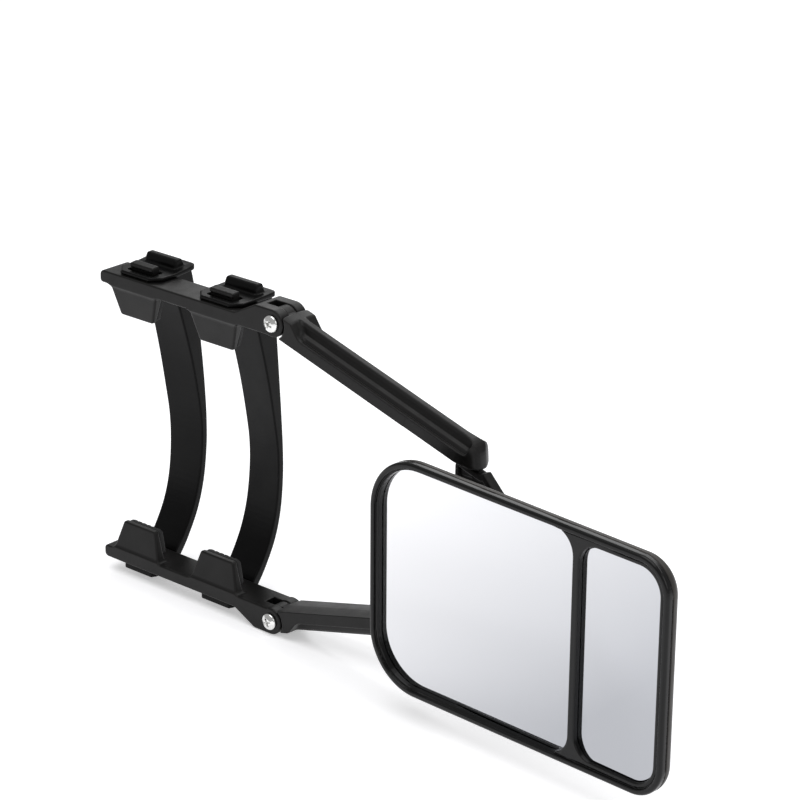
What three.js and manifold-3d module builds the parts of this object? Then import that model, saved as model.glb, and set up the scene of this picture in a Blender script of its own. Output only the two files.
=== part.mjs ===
// Clip-on towing mirror: two clamp bars with claws and rubber straps, two hinged arms,
// a yoke, and a large mirror head on a friction ball joint.
//
// Frame: millimetres, +Z up. X runs along the clamp bars towards the mirror head and -Y is the
// side that the glass faces. The origin is the centre of the clamp, on the bars' front plane.

import * as THREE from 'three';
import { mergeVertices } from 'three/addons/utils/BufferGeometryUtils.js';
import Module from 'manifold-3d';

const wasm = await Module();
wasm.setup();

// ---- driving dimensions ----
const GAP = 0.3;                     // clearance between pieces that rest on each other
const HINGE_X = 98.3;                // hinge axis of both clamp bars
const HINGE_Z = 116.1;               // half the distance between the two hinge axes
const BAR_DEPTH = 27;                // along Y
const BAR_THICK = 9.4;
const BAR_OUTER_Z = 116;             // outer face of a bar
const BAR_END_X = -73.4;
const MID_Y = BAR_DEPTH / 2;
const BAR_INNER_Z = BAR_OUTER_Z - BAR_THICK;

const KNUCKLE_R = 10.3;
const KNUCKLE_FLAT = 16;             // length of the level top behind the hinge axis
const KNUCKLE_RAMP = 36;             // where the ramp meets the bar
const SLOT_WIDTH = 9.2;
const SLOT_ROOT = 12.3;              // slot end, behind the hinge axis
const TONGUE_WIDTH = 8.6;
const TONGUE_R = 9.6;
const SHOULDER_R = 11.6;

const SCREW_R = 3;
const BORE_R = 3.25;
const HEAD_R = 6.4;
const HEAD_H = 3.4;
const NUT_FLATS = 10;
const NUT_H = 5;
const NUT_POCKET = 4.5;

const CLAW_X = [-40.3, 40.3];        // claw and strap centres
const CLAW_HEIGHT = 23.3;
const CLAW_ROOT_HALF = 22.8;
const CLAW_TIP_HALF = 16.4;
const CLAW_LEAN = 4.7;               // how far the tip leans back
const CLAW_TIP_THICK = 4.4;
const CLAW_ROOT_THICK = 8.3;
const PAD_THICK = 4.8;

const STRAP_WIDTH = 31;
const PLATE_HALF = 21.4;
const PLATE_FRONT_HALF = 14;
const PLATE_THICK = 3;
const TAB_HALF = 11.4;
const WINDOW_HALF = 13;

const ARM_LENGTH = 190.8;            // hinge axis to the arm's far end
const ARM_PIVOT_S = 179;             // hinge axis to yoke pivot, along the arm
const ARM_PIVOT_H = -1.5;
const ARM_INNER_H = -8.8;
const ARM_OUTER_H = 9.6;
const ARM_LEDGE_H = 0.7;             // top of the arm's full-width base
const UPPER_ARM_SLOPE = THREE.MathUtils.degToRad(16.65);
const LOWER_ARM_SLOPE = THREE.MathUtils.degToRad(15);
const NOSE_RAKE = 0.38;              // the far end leans out towards the arm's inner face
const CROWN_START = 100;             // where the arm's outer face becomes crowned
const BLIND_BORE_Y = 6.8;            // the pivot bore stops short of the arm's front face
const PIVOT_SEAT_Y = 24.8;
const EAR_R = 7.2;
const EAR_WIDTH = 6.4;
const EAR_POCKET_WIDTH = 7.2;

const HEAD_CENTRE = new THREE.Vector3(353.7, -46.6, -17.7);
const HEAD_YAW = THREE.MathUtils.degToRad(-4.6);
const HEAD_TILT = THREE.MathUtils.degToRad(0.36);
const HEAD_ROLL = THREE.MathUtils.degToRad(-0.78);
const HEAD_HALF_W = 131.4;
const INBOARD_HALF_H = 87;
const OUTBOARD_HALF_H = 83.9;
const INBOARD_R = 42;
const OUTBOARD_R = 25;
const BEZEL_DEPTH = 5.2;
const HOUSING_SIDE = 7.5;            // where the housing's side turns into its back
const HOUSING_DEPTH = 23.5;
const HOUSING_WALL = 2;
const BACK_PULL = 40;                // how far the back's rim curves in
const RIM_WIDTH = 4.3;               // raised rim; inside it the face is lower
const RIM_RISE = 1.6;
const MAIN_GLASS = {
  left: -124.3, right: 50.3, halfLeft: 80.7, halfRight: 80.4, rLeft: 35.3, rRight: 16.5, front: 6.4, draft: 0.5,
};
const WIDE_GLASS = {
  left: 56.3, right: 123.1, halfLeft: 76, halfRight: 75.8, rLeft: 15, rRight: 17, front: 5.8, draft: 0.5,
};
const GLASS_THICK = 2.2;
const GLASS_LAP = 1.1;               // how far a glass reaches behind its opening's edge
const RING_WALL = 0.6;                // wall round each glass, behind the rim
const WIDE_BULGE = 2.2;

const BALL = new THREE.Vector3(330, -4, -17.7);
const BALL_R = 9;
const LINER_IN = 9.6;
const LINER_OUT = 11.2;
const LINER_TOP = 32;                // degrees above the ball's middle
const SOCKET_R = 11.9;
const SOCKET_MOUTH = 34;
const SOCKET_OUTER_R = 17;
const ROUND = 14;                    // sides of a round piece

// ---- colours ----
const PLASTIC = { color: 0x222223, roughness: 0.5, metalness: 0 };
const GLOSS = { color: 0x18181a, roughness: 0.32, metalness: 0 };
const RUBBER = { color: 0x1b1b1c, roughness: 0.6, metalness: 0 };
const STEEL = { color: 0xc8c8c6, roughness: 0.22, metalness: 1 };
const MIRROR = { color: 0xdfe1e4, roughness: 0.04, metalness: 1 };
const FOAM = { color: 0x303032, roughness: 0.9, metalness: 0 };

const towingMirror = new THREE.Group();

// ---- geometry helpers ----
function toSolid(geometry) {
  const bare = geometry.clone();
  bare.deleteAttribute('normal');
  bare.deleteAttribute('uv');
  const merged = mergeVertices(bare, 1e-4);
  const data = {
    numProp: 3,
    vertProperties: new Float32Array(merged.attributes.position.array),
    triVerts: new Uint32Array(merged.index.array),
  };
  return new wasm.Manifold(new wasm.Mesh(data));
}

function toGeometry(solid) {
  const data = solid.getMesh();
  const geometry = new THREE.BufferGeometry();
  geometry.setAttribute('position', new THREE.BufferAttribute(data.vertProperties, 3));
  geometry.setIndex(new THREE.BufferAttribute(data.triVerts, 1));
  geometry.computeVertexNormals();
  return geometry;
}

function place(name, geometry, look, parent = towingMirror) {
  const mesh = new THREE.Mesh(geometry, new THREE.MeshStandardMaterial(look));
  mesh.name = name;
  parent.add(mesh);
  return mesh;
}

// Outline through corner points [x, y, radius]; a corner with a radius is rounded.
function outline(corners, steps = 4) {
  const points = [];
  corners.forEach(([x, y, radius = 0], i) => {
    const here = new THREE.Vector2(x, y);
    if (radius === 0) {
      points.push(here);
      return;
    }
    const [px, py] = corners[(i + corners.length - 1) % corners.length];
    const [nx, ny] = corners[(i + 1) % corners.length];
    const back = new THREE.Vector2(px - x, py - y).normalize();
    const ahead = new THREE.Vector2(nx - x, ny - y).normalize();
    const half = Math.acos(THREE.MathUtils.clamp(back.dot(ahead), -1, 1)) / 2;
    const reach = radius / Math.tan(half);
    const middle = back.clone().add(ahead).normalize().multiplyScalar(radius / Math.sin(half));
    const centre = here.clone().add(middle);
    const start = here.clone().addScaledVector(back, reach).sub(centre).angle();
    const end = here.clone().addScaledVector(ahead, reach).sub(centre).angle();
    const turn = Math.atan2(Math.sin(end - start), Math.cos(end - start));
    for (let k = 0; k <= steps; k += 1) {
      const angle = start + (turn * k) / steps;
      points.push(new THREE.Vector2(Math.cos(angle), Math.sin(angle)).multiplyScalar(radius).add(centre));
    }
  });
  return points;
}

function circle(cx, cy, radius, sides = ROUND) {
  const points = [];
  for (let k = 0; k < sides; k += 1) {
    const angle = (k / sides) * Math.PI * 2;
    points.push(new THREE.Vector2(cx + radius * Math.cos(angle), cy + radius * Math.sin(angle)));
  }
  return points;
}

// Prism on a flat outline, from 0 to length along Z, with rounded rims where bevel is above zero.
function prism(points, length, bevel = 0) {
  const geometry = new THREE.ExtrudeGeometry(new THREE.Shape(points), {
    depth: length - 2 * bevel,
    steps: 1,
    curveSegments: 1,
    bevelEnabled: bevel > 0,
    bevelThickness: bevel,
    bevelSize: bevel,
    bevelOffset: -bevel,
    bevelSegments: 1,
  });
  geometry.translate(0, 0, bevel);
  return geometry;
}

// The outline's plane is XZ and the prism runs along Y.
function alongY(points, y0, y1, bevel = 0) {
  const geometry = prism(points, y1 - y0, bevel);
  geometry.rotateX(Math.PI / 2);
  geometry.translate(0, y1, 0);
  return toSolid(geometry);
}

// The outline's plane is YZ and the prism runs along X.
function alongX(points, x0, x1, bevel = 0) {
  const geometry = prism(points, x1 - x0, bevel);
  const axes = [new THREE.Vector3(0, 1, 0), new THREE.Vector3(0, 0, 1), new THREE.Vector3(1, 0, 0)];
  geometry.applyMatrix4(new THREE.Matrix4().makeBasis(...axes));
  geometry.translate(x0, 0, 0);
  return toSolid(geometry);
}

// The outline's plane is XY and the prism runs along Z.
function alongZ(points, z0, z1, bevel = 0) {
  const geometry = prism(points, Math.abs(z1 - z0), bevel);
  geometry.translate(0, 0, Math.min(z0, z1));
  return toSolid(geometry);
}

function box(x0, x1, y0, y1, z0, z1) {
  const geometry = new THREE.BoxGeometry(x1 - x0, y1 - y0, Math.abs(z1 - z0));
  geometry.translate((x0 + x1) / 2, (y0 + y1) / 2, (z0 + z1) / 2);
  return toSolid(geometry);
}

// Body turned about the Y axis through (x, z): profile points are [radius, y].
function turned(profile, x = 0, z = 0, sides = ROUND) {
  const points = profile.map(([radius, y]) => new THREE.Vector2(radius, y));
  const geometry = new THREE.LatheGeometry(points, sides);
  geometry.translate(x, 0, z);
  const solid = toSolid(geometry);
  if (solid.volume() > 0) {
    return solid;
  }
  return toSolid(new THREE.LatheGeometry([...points].reverse(), sides).translate(x, 0, z));
}

function arc(centreY, radius, from, to, steps) {
  const points = [];
  for (let k = 0; k <= steps; k += 1) {
    const angle = THREE.MathUtils.degToRad(from + ((to - from) * k) / steps);
    points.push([radius * Math.cos(angle), centreY + radius * Math.sin(angle)]);
  }
  return points;
}

function mirrored(points, side) {
  return points.map(([a, b, ...rest]) => [a, side * b, ...rest]);
}

// ---- fasteners, along Y, with the head at the front ----
function crossScrew(x, z, faceY, length, headR = HEAD_R, shaftR = SCREW_R) {
  const dome = HEAD_H * headR / HEAD_R;
  const body = turned([
    [0, faceY - dome], [headR * 0.6, faceY - dome * 0.9], [headR, faceY - dome * 0.35],
    [headR, faceY], [shaftR, faceY], [shaftR, faceY + length], [0, faceY + length],
  ], x, z, 12);
  const reach = headR * 0.52;
  const slotW = headR * 0.13;
  const top = faceY - dome - 1;
  const floor = faceY - dome * 0.35;
  const bars = box(x - reach, x + reach, top, floor, z - slotW, z + slotW)
    .add(box(x - slotW, x + slotW, top, floor, z - reach, z + reach));
  return toGeometry(body.subtract(bars));
}

function hexPoints(x, z, flats) {
  return circle(x, z, flats / Math.sqrt(3), 6);
}

function hexNut(x, z, y0) {
  const body = alongY(hexPoints(x, z, NUT_FLATS), y0, y0 + NUT_H, 0.7);
  const bore = turned([[0, y0 - 1], [SCREW_R + 0.1, y0 - 1], [SCREW_R + 0.1, y0 + NUT_H + 1], [0, y0 + NUT_H + 1]], x, z);
  return toGeometry(body.subtract(bore));
}

function bore(x, z, radius, y0, y1) {
  return turned([[0, y0], [radius, y0], [radius, y1], [0, y1]], x, z);
}

// ---- clamp bars ----
function barOutline(side) {
  const top = HINGE_Z + KNUCKLE_R;
  const below = Math.asin((HINGE_Z - BAR_INNER_Z) / KNUCKLE_R);
  const corners = [
    [HINGE_X - KNUCKLE_R * Math.cos(below), BAR_INNER_Z],
    [BAR_END_X, BAR_INNER_Z, 2.6],
    [BAR_END_X, BAR_OUTER_Z, 3.4],
    [HINGE_X - KNUCKLE_RAMP, BAR_OUTER_Z, 6],
    [HINGE_X - KNUCKLE_FLAT, top, 5],
    [HINGE_X, top],
  ];
  const points = outline(mirrored(corners, side), 3);
  const turn = Math.PI * 1.5 - below;
  const steps = 14;
  for (let k = 1; k < steps; k += 1) {
    const angle = Math.PI / 2 - (turn * k) / steps;
    const z = HINGE_Z + KNUCKLE_R * Math.sin(angle);
    points.push(new THREE.Vector2(HINGE_X + KNUCKLE_R * Math.cos(angle), side * z));
  }
  return points;
}

function claw(x, side) {
  const root = BAR_INNER_Z + 0.8;
  const tip = BAR_INNER_Z - CLAW_HEIGHT;
  const front = outline(mirrored([
    [x - CLAW_ROOT_HALF - 4.5, root], [x - CLAW_ROOT_HALF - 4, BAR_INNER_Z - 0.2],
    [x - CLAW_ROOT_HALF - 1, BAR_INNER_Z - 1.4], [x - CLAW_ROOT_HALF + 0.6, BAR_INNER_Z - 4.2],
    [x - CLAW_TIP_HALF, tip, 2.4], [x + CLAW_TIP_HALF, tip, 2.4],
    [x + CLAW_ROOT_HALF - 0.6, BAR_INNER_Z - 4.2], [x + CLAW_ROOT_HALF + 1, BAR_INNER_Z - 1.4],
    [x + CLAW_ROOT_HALF + 4, BAR_INNER_Z - 0.2], [x + CLAW_ROOT_HALF + 4.5, root],
  ], side), 2);
  const flank = outline(mirrored([
    [0.4, root + 1], [0.4, BAR_INNER_Z - 1], [CLAW_LEAN, tip, 1.2], [CLAW_LEAN + CLAW_TIP_THICK, tip, 1.2],
    [CLAW_ROOT_THICK, BAR_INNER_Z - 2.5], [CLAW_ROOT_THICK + 1.6, BAR_INNER_Z], [CLAW_ROOT_THICK + 1.6, root + 1],
  ], side), 2);
  const reach = CLAW_ROOT_HALF + 6;
  return alongY(front, -1, BAR_DEPTH).intersect(alongX(flank, x - reach, x + reach));
}

// Peg that a strap's end plate hooks over: a post with a wider head.
function strapPeg(x, side) {
  const post = outline(mirrored([
    [10.6, BAR_OUTER_Z - 1], [10.6, BAR_OUTER_Z + 4.6], [9.6, BAR_OUTER_Z + 5.4], [9.6, BAR_OUTER_Z + 8.2, 1.2],
    [17.6, BAR_OUTER_Z + 9, 1.6], [17.6, BAR_OUTER_Z - 1],
  ], side), 2);
  return alongX(post, x - TAB_HALF, x + TAB_HALF, 0.8);
}

function clampBar(side) {
  let bar = alongY(barOutline(side), 0, BAR_DEPTH, 1);
  CLAW_X.forEach((x) => {
    bar = bar.add(claw(x, side)).add(strapPeg(x, side));
  });
  const far = HINGE_Z + KNUCKLE_R + 2;
  const slotY0 = MID_Y - SLOT_WIDTH / 2;
  const slotY1 = MID_Y + SLOT_WIDTH / 2;
  const near = BAR_INNER_Z - 3;
  bar = bar.subtract(box(HINGE_X - SLOT_ROOT, HINGE_X + 14, slotY0, slotY1, side * near, side * far));
  bar = bar.subtract(bore(HINGE_X, side * HINGE_Z, BORE_R, -2, BAR_DEPTH + 2));
  const pocket = hexPoints(HINGE_X, side * HINGE_Z, NUT_FLATS + 2 * GAP);
  return bar.subtract(alongY(pocket, BAR_DEPTH - NUT_POCKET, BAR_DEPTH + 2));
}

// Stiffening rib under the lower bar, set back from the front and open where the strap plates sit.
function underRib() {
  const half = PLATE_HALF + 1;
  const spans = [[BAR_END_X + 2, CLAW_X[0] - half], [CLAW_X[0] + half, CLAW_X[1] - half]];
  const top = -BAR_OUTER_Z + 1;
  const bottom = -BAR_OUTER_Z - 4.8;
  let rib = null;
  spans.forEach(([x0, x1]) => {
    const part = alongX(outline([[9, top], [20, top], [20, bottom, 1.2], [9, bottom, 1.2]], 2), x0, x1, 0.6);
    rib = rib === null ? part : rib.add(part);
  });
  return rib;
}

function gripPad(x, side) {
  const tip = BAR_INNER_Z - CLAW_HEIGHT + 1;
  const root = BAR_INNER_Z - 2.8;
  const points = outline(mirrored([
    [x - CLAW_ROOT_HALF + 2.6, root, 2], [x - CLAW_TIP_HALF + 0.6, tip, 2.4],
    [x + CLAW_TIP_HALF - 0.6, tip, 2.4], [x + CLAW_ROOT_HALF - 2.6, root, 2],
  ], side), 2);
  const y0 = CLAW_LEAN + CLAW_TIP_THICK + GAP;
  return toGeometry(alongY(points, y0, y0 + PAD_THICK, 1.2));
}

function buildClamps() {
  const parts = { upper: 1, lower: -1 };
  Object.entries(parts).forEach(([name, side]) => {
    let bar = clampBar(side);
    if (side < 0) {
      bar = bar.add(underRib());
    }
    place(`${name}_clamp_bar`, toGeometry(bar), PLASTIC);
    CLAW_X.forEach((x, i) => {
      place(`${name}_grip_pad_${i === 0 ? 'outer' : 'inner'}`, gripPad(x, side), RUBBER);
    });
    const z = side * HINGE_Z;
    place(`${name}_hinge_screw`, crossScrew(HINGE_X, z, -GAP, BAR_DEPTH + 0.5), STEEL);
    place(`${name}_hinge_nut`, hexNut(HINGE_X, z, BAR_DEPTH - NUT_POCKET + GAP), STEEL);
  });
}

// ---- rubber straps ----
// Side profile of a strap in YZ: hooked over the upper bar, bowed out behind the clamp, hooked
// under the lower bar. lift raises the rear of the upper end plate.
function strapProfile(lift) {
  const plateZ = BAR_OUTER_Z + GAP;
  const rear = [
    [46.2, plateZ + 1 + lift], [49.4, 108], [52.6, 90], [54.8, 70], [57.2, 46], [59.6, 20], [61.6, -8],
    [61.8, -32], [59.2, -58], [53, -80], [43, -99], [34.5, -111],
  ];
  const front = [
    [28, -108], [37, -96], [46.8, -78], [53.2, -57], [56, -32], [55.4, -8], [51, 18], [46, 42],
    [41, 62], [36, 80], [31.4, 96], [29.2, 106],
  ];
  const smooth = (list, count) => new THREE.SplineCurve(list.map(([y, z]) => new THREE.Vector2(y, z)))
    .getPoints(count);
  const lowerPlate = [[27.4, -plateZ - PLATE_THICK], [9, -plateZ - PLATE_THICK], [8, -plateZ - 5.2],
    [3, -plateZ - 5.2], [3, -plateZ], [27.4, -plateZ]];
  const upperPlate = [[28.4, plateZ], [3, plateZ], [3, plateZ + PLATE_THICK],
    [26, plateZ + PLATE_THICK], [40, plateZ + PLATE_THICK + lift * 0.6]];
  return [
    ...upperPlate.map(([y, z]) => new THREE.Vector2(y, z)),
    new THREE.Vector2(45.4, plateZ + PLATE_THICK + lift),
    ...smooth(rear, 12),
    ...lowerPlate.map(([y, z]) => new THREE.Vector2(y, z)),
    ...smooth(front, 12),
  ];
}

function endPlate(x, side, profile, frontHalf, rearHalf, rearY) {
  const plan = outline([
    [x - frontHalf, 2.9, 1], [x + frontHalf, 2.9, 1], [x + rearHalf, 10.5, 2], [x + rearHalf, rearY, 3],
    [x - rearHalf, rearY, 3], [x - rearHalf, 10.5, 2],
  ], 2);
  const slab = alongX(profile, x - rearHalf - 1, x + rearHalf + 1);
  return slab.intersect(alongZ(plan, side > 0 ? 100 : -140, side > 0 ? 140 : -100));
}

function strap(x, lift) {
  const band = alongX(strapProfile(lift), x - STRAP_WIDTH / 2, x + STRAP_WIDTH / 2);
  const low = BAR_OUTER_Z + GAP;
  const upper = endPlate(x, 1, outline([
    [2, low], [28, low], [47.5, low - 2 + lift], [47.5, low + PLATE_THICK + lift],
    [38, low + PLATE_THICK + lift * 0.5], [26, low + PLATE_THICK], [2, low + PLATE_THICK],
  ]), PLATE_FRONT_HALF, PLATE_HALF, 46.4);
  const lower = endPlate(x, -1, outline([
    [2, -low], [2, -low - 5.2], [8, -low - 5.2], [9.5, -low - PLATE_THICK], [29, -low - PLATE_THICK], [29, -low],
  ]), PLATE_FRONT_HALF, 17, 29);
  const ridgeZ = low + PLATE_THICK - 0.6;
  const ridge = alongX(outline([
    [29.5, ridgeZ], [29.5, ridgeZ + 4.5, 2], [32, ridgeZ + 8.2, 2.6], [37, ridgeZ + 8.2, 2.6], [39.4, ridgeZ + 4.5, 2],
    [39.4, ridgeZ],
  ], 3), x - 15.5, x + 15.5, 0.8);
  const windowTop = box(x - WINDOW_HALF, x + WINDOW_HALF, 8, 19.6, BAR_OUTER_Z - 4, BAR_OUTER_Z + 14);
  const windowLow = box(x - WINDOW_HALF, x + WINDOW_HALF, 8.6, 19.6, -BAR_OUTER_Z + 4, -BAR_OUTER_Z - 14);
  const whole = band.add(upper).add(lower).add(ridge);
  return toGeometry(whole.subtract(windowTop).subtract(windowLow));
}

function buildStraps() {
  place('strap_outer', strap(CLAW_X[0], 2.6), RUBBER);
  place('strap_inner', strap(CLAW_X[1], 0.6), RUBBER);
}

// ---- arms, in their own frame: s along X from the hinge axis, h along Z away from the clamp ----
function sideChannel(mirrorSide, side) {
  const across = (y) => (mirrorSide ? BAR_DEPTH - y : y);
  const section = [[-2, ARM_LEDGE_H], [3, ARM_LEDGE_H], [4.2, ARM_LEDGE_H - 1.1], [5.2, ARM_LEDGE_H],
    [7.6, 3], [8.4, 3.4], [9.2, 6.6], [11.4, ARM_OUTER_H + 1], [-2, ARM_OUTER_H + 1]];
  const points = section.map(([y, h]) => new THREE.Vector2(across(y), side * h));
  const cutter = alongX(points, 10, ARM_LENGTH);
  const length = outline(mirrored([
    [27.5, ARM_LEDGE_H - 2], [26, ARM_LEDGE_H, 5], [15, ARM_OUTER_H, 4], [14, ARM_OUTER_H + 2],
    [ARM_LENGTH, ARM_OUTER_H + 2], [ARM_LENGTH, ARM_LEDGE_H - 2],
  ], side), 3);
  const end = ARM_LENGTH - 7.8;
  const plan = outline([
    [5, -3], [ARM_LENGTH - 2, -3], [ARM_LENGTH - 2, -2], [end, 1, 3], [end, 8.4, 5],
    [end - 16, 14], [5, 14],
  ].map(([s, y, ...rest]) => [s, across(y), ...rest]), 3);
  return cutter.intersect(alongY(length, -3, BAR_DEPTH + 3)).intersect(alongZ(plan, side * -4, side * 14));
}

// What is left above an elliptical crown that falls from the arm's middle to its ledges.
function crownCutter(side) {
  const rise = ARM_OUTER_H - ARM_LEDGE_H;
  const crown = [];
  const steps = 12;
  for (let k = 0; k <= steps; k += 1) {
    const angle = (k / steps) * Math.PI;
    crown.push(new THREE.Vector2(MID_Y - MID_Y * Math.cos(angle), side * (ARM_LEDGE_H + rise * Math.sin(angle))));
  }
  const block = box(CROWN_START, ARM_LENGTH + 6, -1, BAR_DEPTH + 1, side * ARM_LEDGE_H, side * (ARM_OUTER_H + 1));
  return block.subtract(alongX(crown, CROWN_START - 1, ARM_LENGTH + 7));
}

// Space inside the arm's outline seen from above, with a raked half-round end.
function roundNose(side) {
  const radius = MID_Y + 0.1;
  const plan = prism(outline([
    [-10, -0.1], [ARM_LENGTH, -0.1, radius], [ARM_LENGTH, BAR_DEPTH + 0.1, radius], [-10, BAR_DEPTH + 0.1],
  ], 7), 28);
  plan.translate(0, 0, -14);
  plan.applyMatrix4(new THREE.Matrix4().makeShear(0, 0, 0, 0, -side * NOSE_RAKE, 0));
  return toSolid(plan);
}

function arm(side) {
  const block = outline(mirrored([
    [6, ARM_INNER_H], [6, ARM_OUTER_H], [ARM_LENGTH - NOSE_RAKE * ARM_OUTER_H, ARM_OUTER_H, 16],
    [ARM_LENGTH - NOSE_RAKE * ARM_INNER_H, ARM_INNER_H, 2],
  ], side), 4);
  let solid = alongY(block, 0, BAR_DEPTH, 1);
  const peak = outline(mirrored([[-1, ARM_INNER_H + 0.9], [MID_Y, ARM_INNER_H], [BAR_DEPTH + 1, ARM_INNER_H + 0.9],
    [BAR_DEPTH + 1, ARM_OUTER_H + 1], [-1, ARM_OUTER_H + 1]], side));
  solid = solid.intersect(alongX(peak, 0, ARM_LENGTH + 6));
  solid = solid.intersect(roundNose(side)).subtract(crownCutter(side));
  solid = solid.subtract(bore(0, 0, SHOULDER_R, -2, BAR_DEPTH + 2));
  solid = solid.subtract(sideChannel(false, side)).subtract(sideChannel(true, side));
  const t0 = MID_Y - TONGUE_WIDTH / 2;
  const t1 = MID_Y + TONGUE_WIDTH / 2;
  const tongue = alongY(circle(0, 0, TONGUE_R, 20), t0, t1)
    .add(box(0, 14, t0, t1, -8.2, 8.2));
  solid = solid.add(tongue).subtract(bore(0, 0, BORE_R, -2, BAR_DEPTH + 2));
  const pivotH = side * ARM_PIVOT_H;
  const pocket = outline(mirrored([
    [ARM_PIVOT_S - 10, ARM_INNER_H - 2], [ARM_PIVOT_S - 8.4, 6.6, 5], [ARM_PIVOT_S + 8, 6.6, 5],
    [ARM_PIVOT_S + 8.4, ARM_INNER_H - 2],
  ], side), 4);
  solid = solid.subtract(alongY(pocket, MID_Y - EAR_POCKET_WIDTH / 2, MID_Y + EAR_POCKET_WIDTH / 2));
  solid = solid.subtract(bore(ARM_PIVOT_S, pivotH, BORE_R, BLIND_BORE_Y, BAR_DEPTH + 2));
  return solid.subtract(bore(ARM_PIVOT_S, pivotH, 5.7, PIVOT_SEAT_Y, BAR_DEPTH + 2));
}

// Where a point of an arm's own frame lies in the object's frame, as {x, z}.
function armPoint(side, s, h) {
  const slope = side > 0 ? UPPER_ARM_SLOPE : LOWER_ARM_SLOPE;
  const x = HINGE_X + s * Math.cos(slope) + h * Math.sin(slope);
  const z = HINGE_Z - s * Math.sin(slope) + h * Math.cos(slope);
  return { x, z: side * z };
}

function buildArms() {
  const parts = { upper: 1, lower: -1 };
  Object.entries(parts).forEach(([name, side]) => {
    const holder = new THREE.Group();
    holder.position.set(HINGE_X, 0, side * HINGE_Z);
    holder.rotation.y = side > 0 ? UPPER_ARM_SLOPE : -LOWER_ARM_SLOPE;
    towingMirror.add(holder);
    place(`${name}_arm`, toGeometry(arm(side)), PLASTIC, holder);
    const h = side * ARM_PIVOT_H;
    const seat = PIVOT_SEAT_Y + GAP;
    const length = seat - BLIND_BORE_Y - 1;
    place(`${name}_pivot_screw`, rearScrew(ARM_PIVOT_S, h, seat, length, 5.2, SCREW_R), STEEL, holder);
  });
}

// ---- yoke between the arms' far ends and the ball stud ----
function buildYoke() {
  const y0 = MID_Y - TONGUE_WIDTH / 2;
  const y1 = MID_Y + TONGUE_WIDTH / 2;
  const upper = armPoint(1, ARM_PIVOT_S, ARM_PIVOT_H);
  const lower = armPoint(-1, ARM_PIVOT_S, ARM_PIVOT_H);
  const topZ = 48.8;
  const lowZ = -53.6;
  const left = upper.x - 10;
  const plate = outline([
    [left, 56.6, 4], [281, 50], [284.4, 51.2], [296, 39.2, 4], [BALL.x + 19, BALL.z + 20, 12],
    [BALL.x + 19, BALL.z - 20, 12], [295, -47.5, 4], [288, lowZ, 2], [left, lowZ, 5],
  ], 4);
  const opening = outline([
    [left + 11, 33, 4], [left + 26, 30, 4], [BALL.x - 20, BALL.z + 11, 5],
    [BALL.x - 20, BALL.z - 11, 5], [left + 26, -38, 4], [left + 11, -40, 4],
  ], 3);
  let yoke = alongY(plate, y0, y1, 1);
  [[upper, topZ], [lower, lowZ]].forEach(([point, edge]) => {
    const inside = edge - Math.sign(edge) * 3;
    const neck = [[point.x - 6.4, point.z], [point.x + 4.6, point.z], [point.x + 4.6, inside],
      [point.x - 7, inside]];
    const ear0 = MID_Y - EAR_WIDTH / 2;
    const ear1 = MID_Y + EAR_WIDTH / 2;
    yoke = yoke.add(alongY(circle(point.x, point.z, EAR_R), ear0, ear1)).add(alongY(outline(neck), ear0, ear1));
    yoke = yoke.subtract(bore(point.x, point.z, SCREW_R + 0.75, -2, BAR_DEPTH + 2));
  });
  yoke = yoke.subtract(alongY(opening, y0 - 2, y1 + 2));
  yoke = yoke.add(alongY(circle(BALL.x, BALL.z, 13, 18), 7.5, 20.5, 1.2));
  yoke = yoke.subtract(bore(BALL.x, BALL.z, 4.35, -2, BAR_DEPTH + 2));
  place('head_yoke', toGeometry(yoke), PLASTIC);
}

function buildBallJoint() {
  const neckR = 4.6;
  const yokeFront = 7.5;
  const start = THREE.MathUtils.radToDeg(Math.acos(neckR / BALL_R));
  const stud = turned([
    ...arc(BALL.y, BALL_R, -90, start, 7), [neckR, yokeFront - 3.2], [8, yokeFront - 2.4],
    [8, yokeFront - GAP], [4.1, yokeFront - GAP], [4.1, 29], [3.4, 29.8], [0, 29.8],
  ], BALL.x, BALL.z);
  place('ball_stud', toGeometry(stud), STEEL);

  const nut = alongY(hexPoints(BALL.x, BALL.z, 13), 20.8, 27.2, 0.8).subtract(bore(BALL.x, BALL.z, 4.2, 19, 29));
  place('stud_nut', toGeometry(nut), STEEL);

  const liner = turned([
    ...arc(BALL.y, LINER_IN, -62, LINER_TOP, 4), ...arc(BALL.y, LINER_OUT, LINER_TOP, -62, 4),
    arc(BALL.y, LINER_IN, -62, -62, 1)[0],
  ], BALL.x, BALL.z);
  place('ball_liner', toGeometry(liner), GLOSS);
}

// ---- mirror head, in its own frame: centre of the front rim, -Y is the side with the glass ----
const head = new THREE.Group();
head.position.copy(HEAD_CENTRE);
head.rotation.set(HEAD_TILT, HEAD_ROLL, HEAD_YAW, 'ZXY');
towingMirror.add(head);

function headOutline(inset, steps = 5) {
  const w = HEAD_HALF_W - inset;
  const near = INBOARD_HALF_H - inset;
  const far = OUTBOARD_HALF_H - inset;
  const rNear = Math.max(INBOARD_R - inset, 6);
  const rFar = Math.max(OUTBOARD_R - inset, 6);
  return outline([[-w, -near, rNear], [w, -far, rFar], [w, far, rFar], [-w, near, rNear]], steps);
}

function glassOutline(glass, grow, steps = 4) {
  const rl = glass.rLeft + grow;
  const rr = glass.rRight + grow;
  const left = glass.left - grow;
  const right = glass.right + grow;
  const near = glass.halfLeft + grow;
  const far = glass.halfRight + grow;
  return outline([[left, -near, rl], [right, -far, rr], [right, far, rr], [left, near, rl]], steps);
}

// Centre of the ball in the head's own frame.
const socket = BALL.clone().sub(HEAD_CENTRE).applyQuaternion(head.quaternion.clone().invert());

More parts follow.
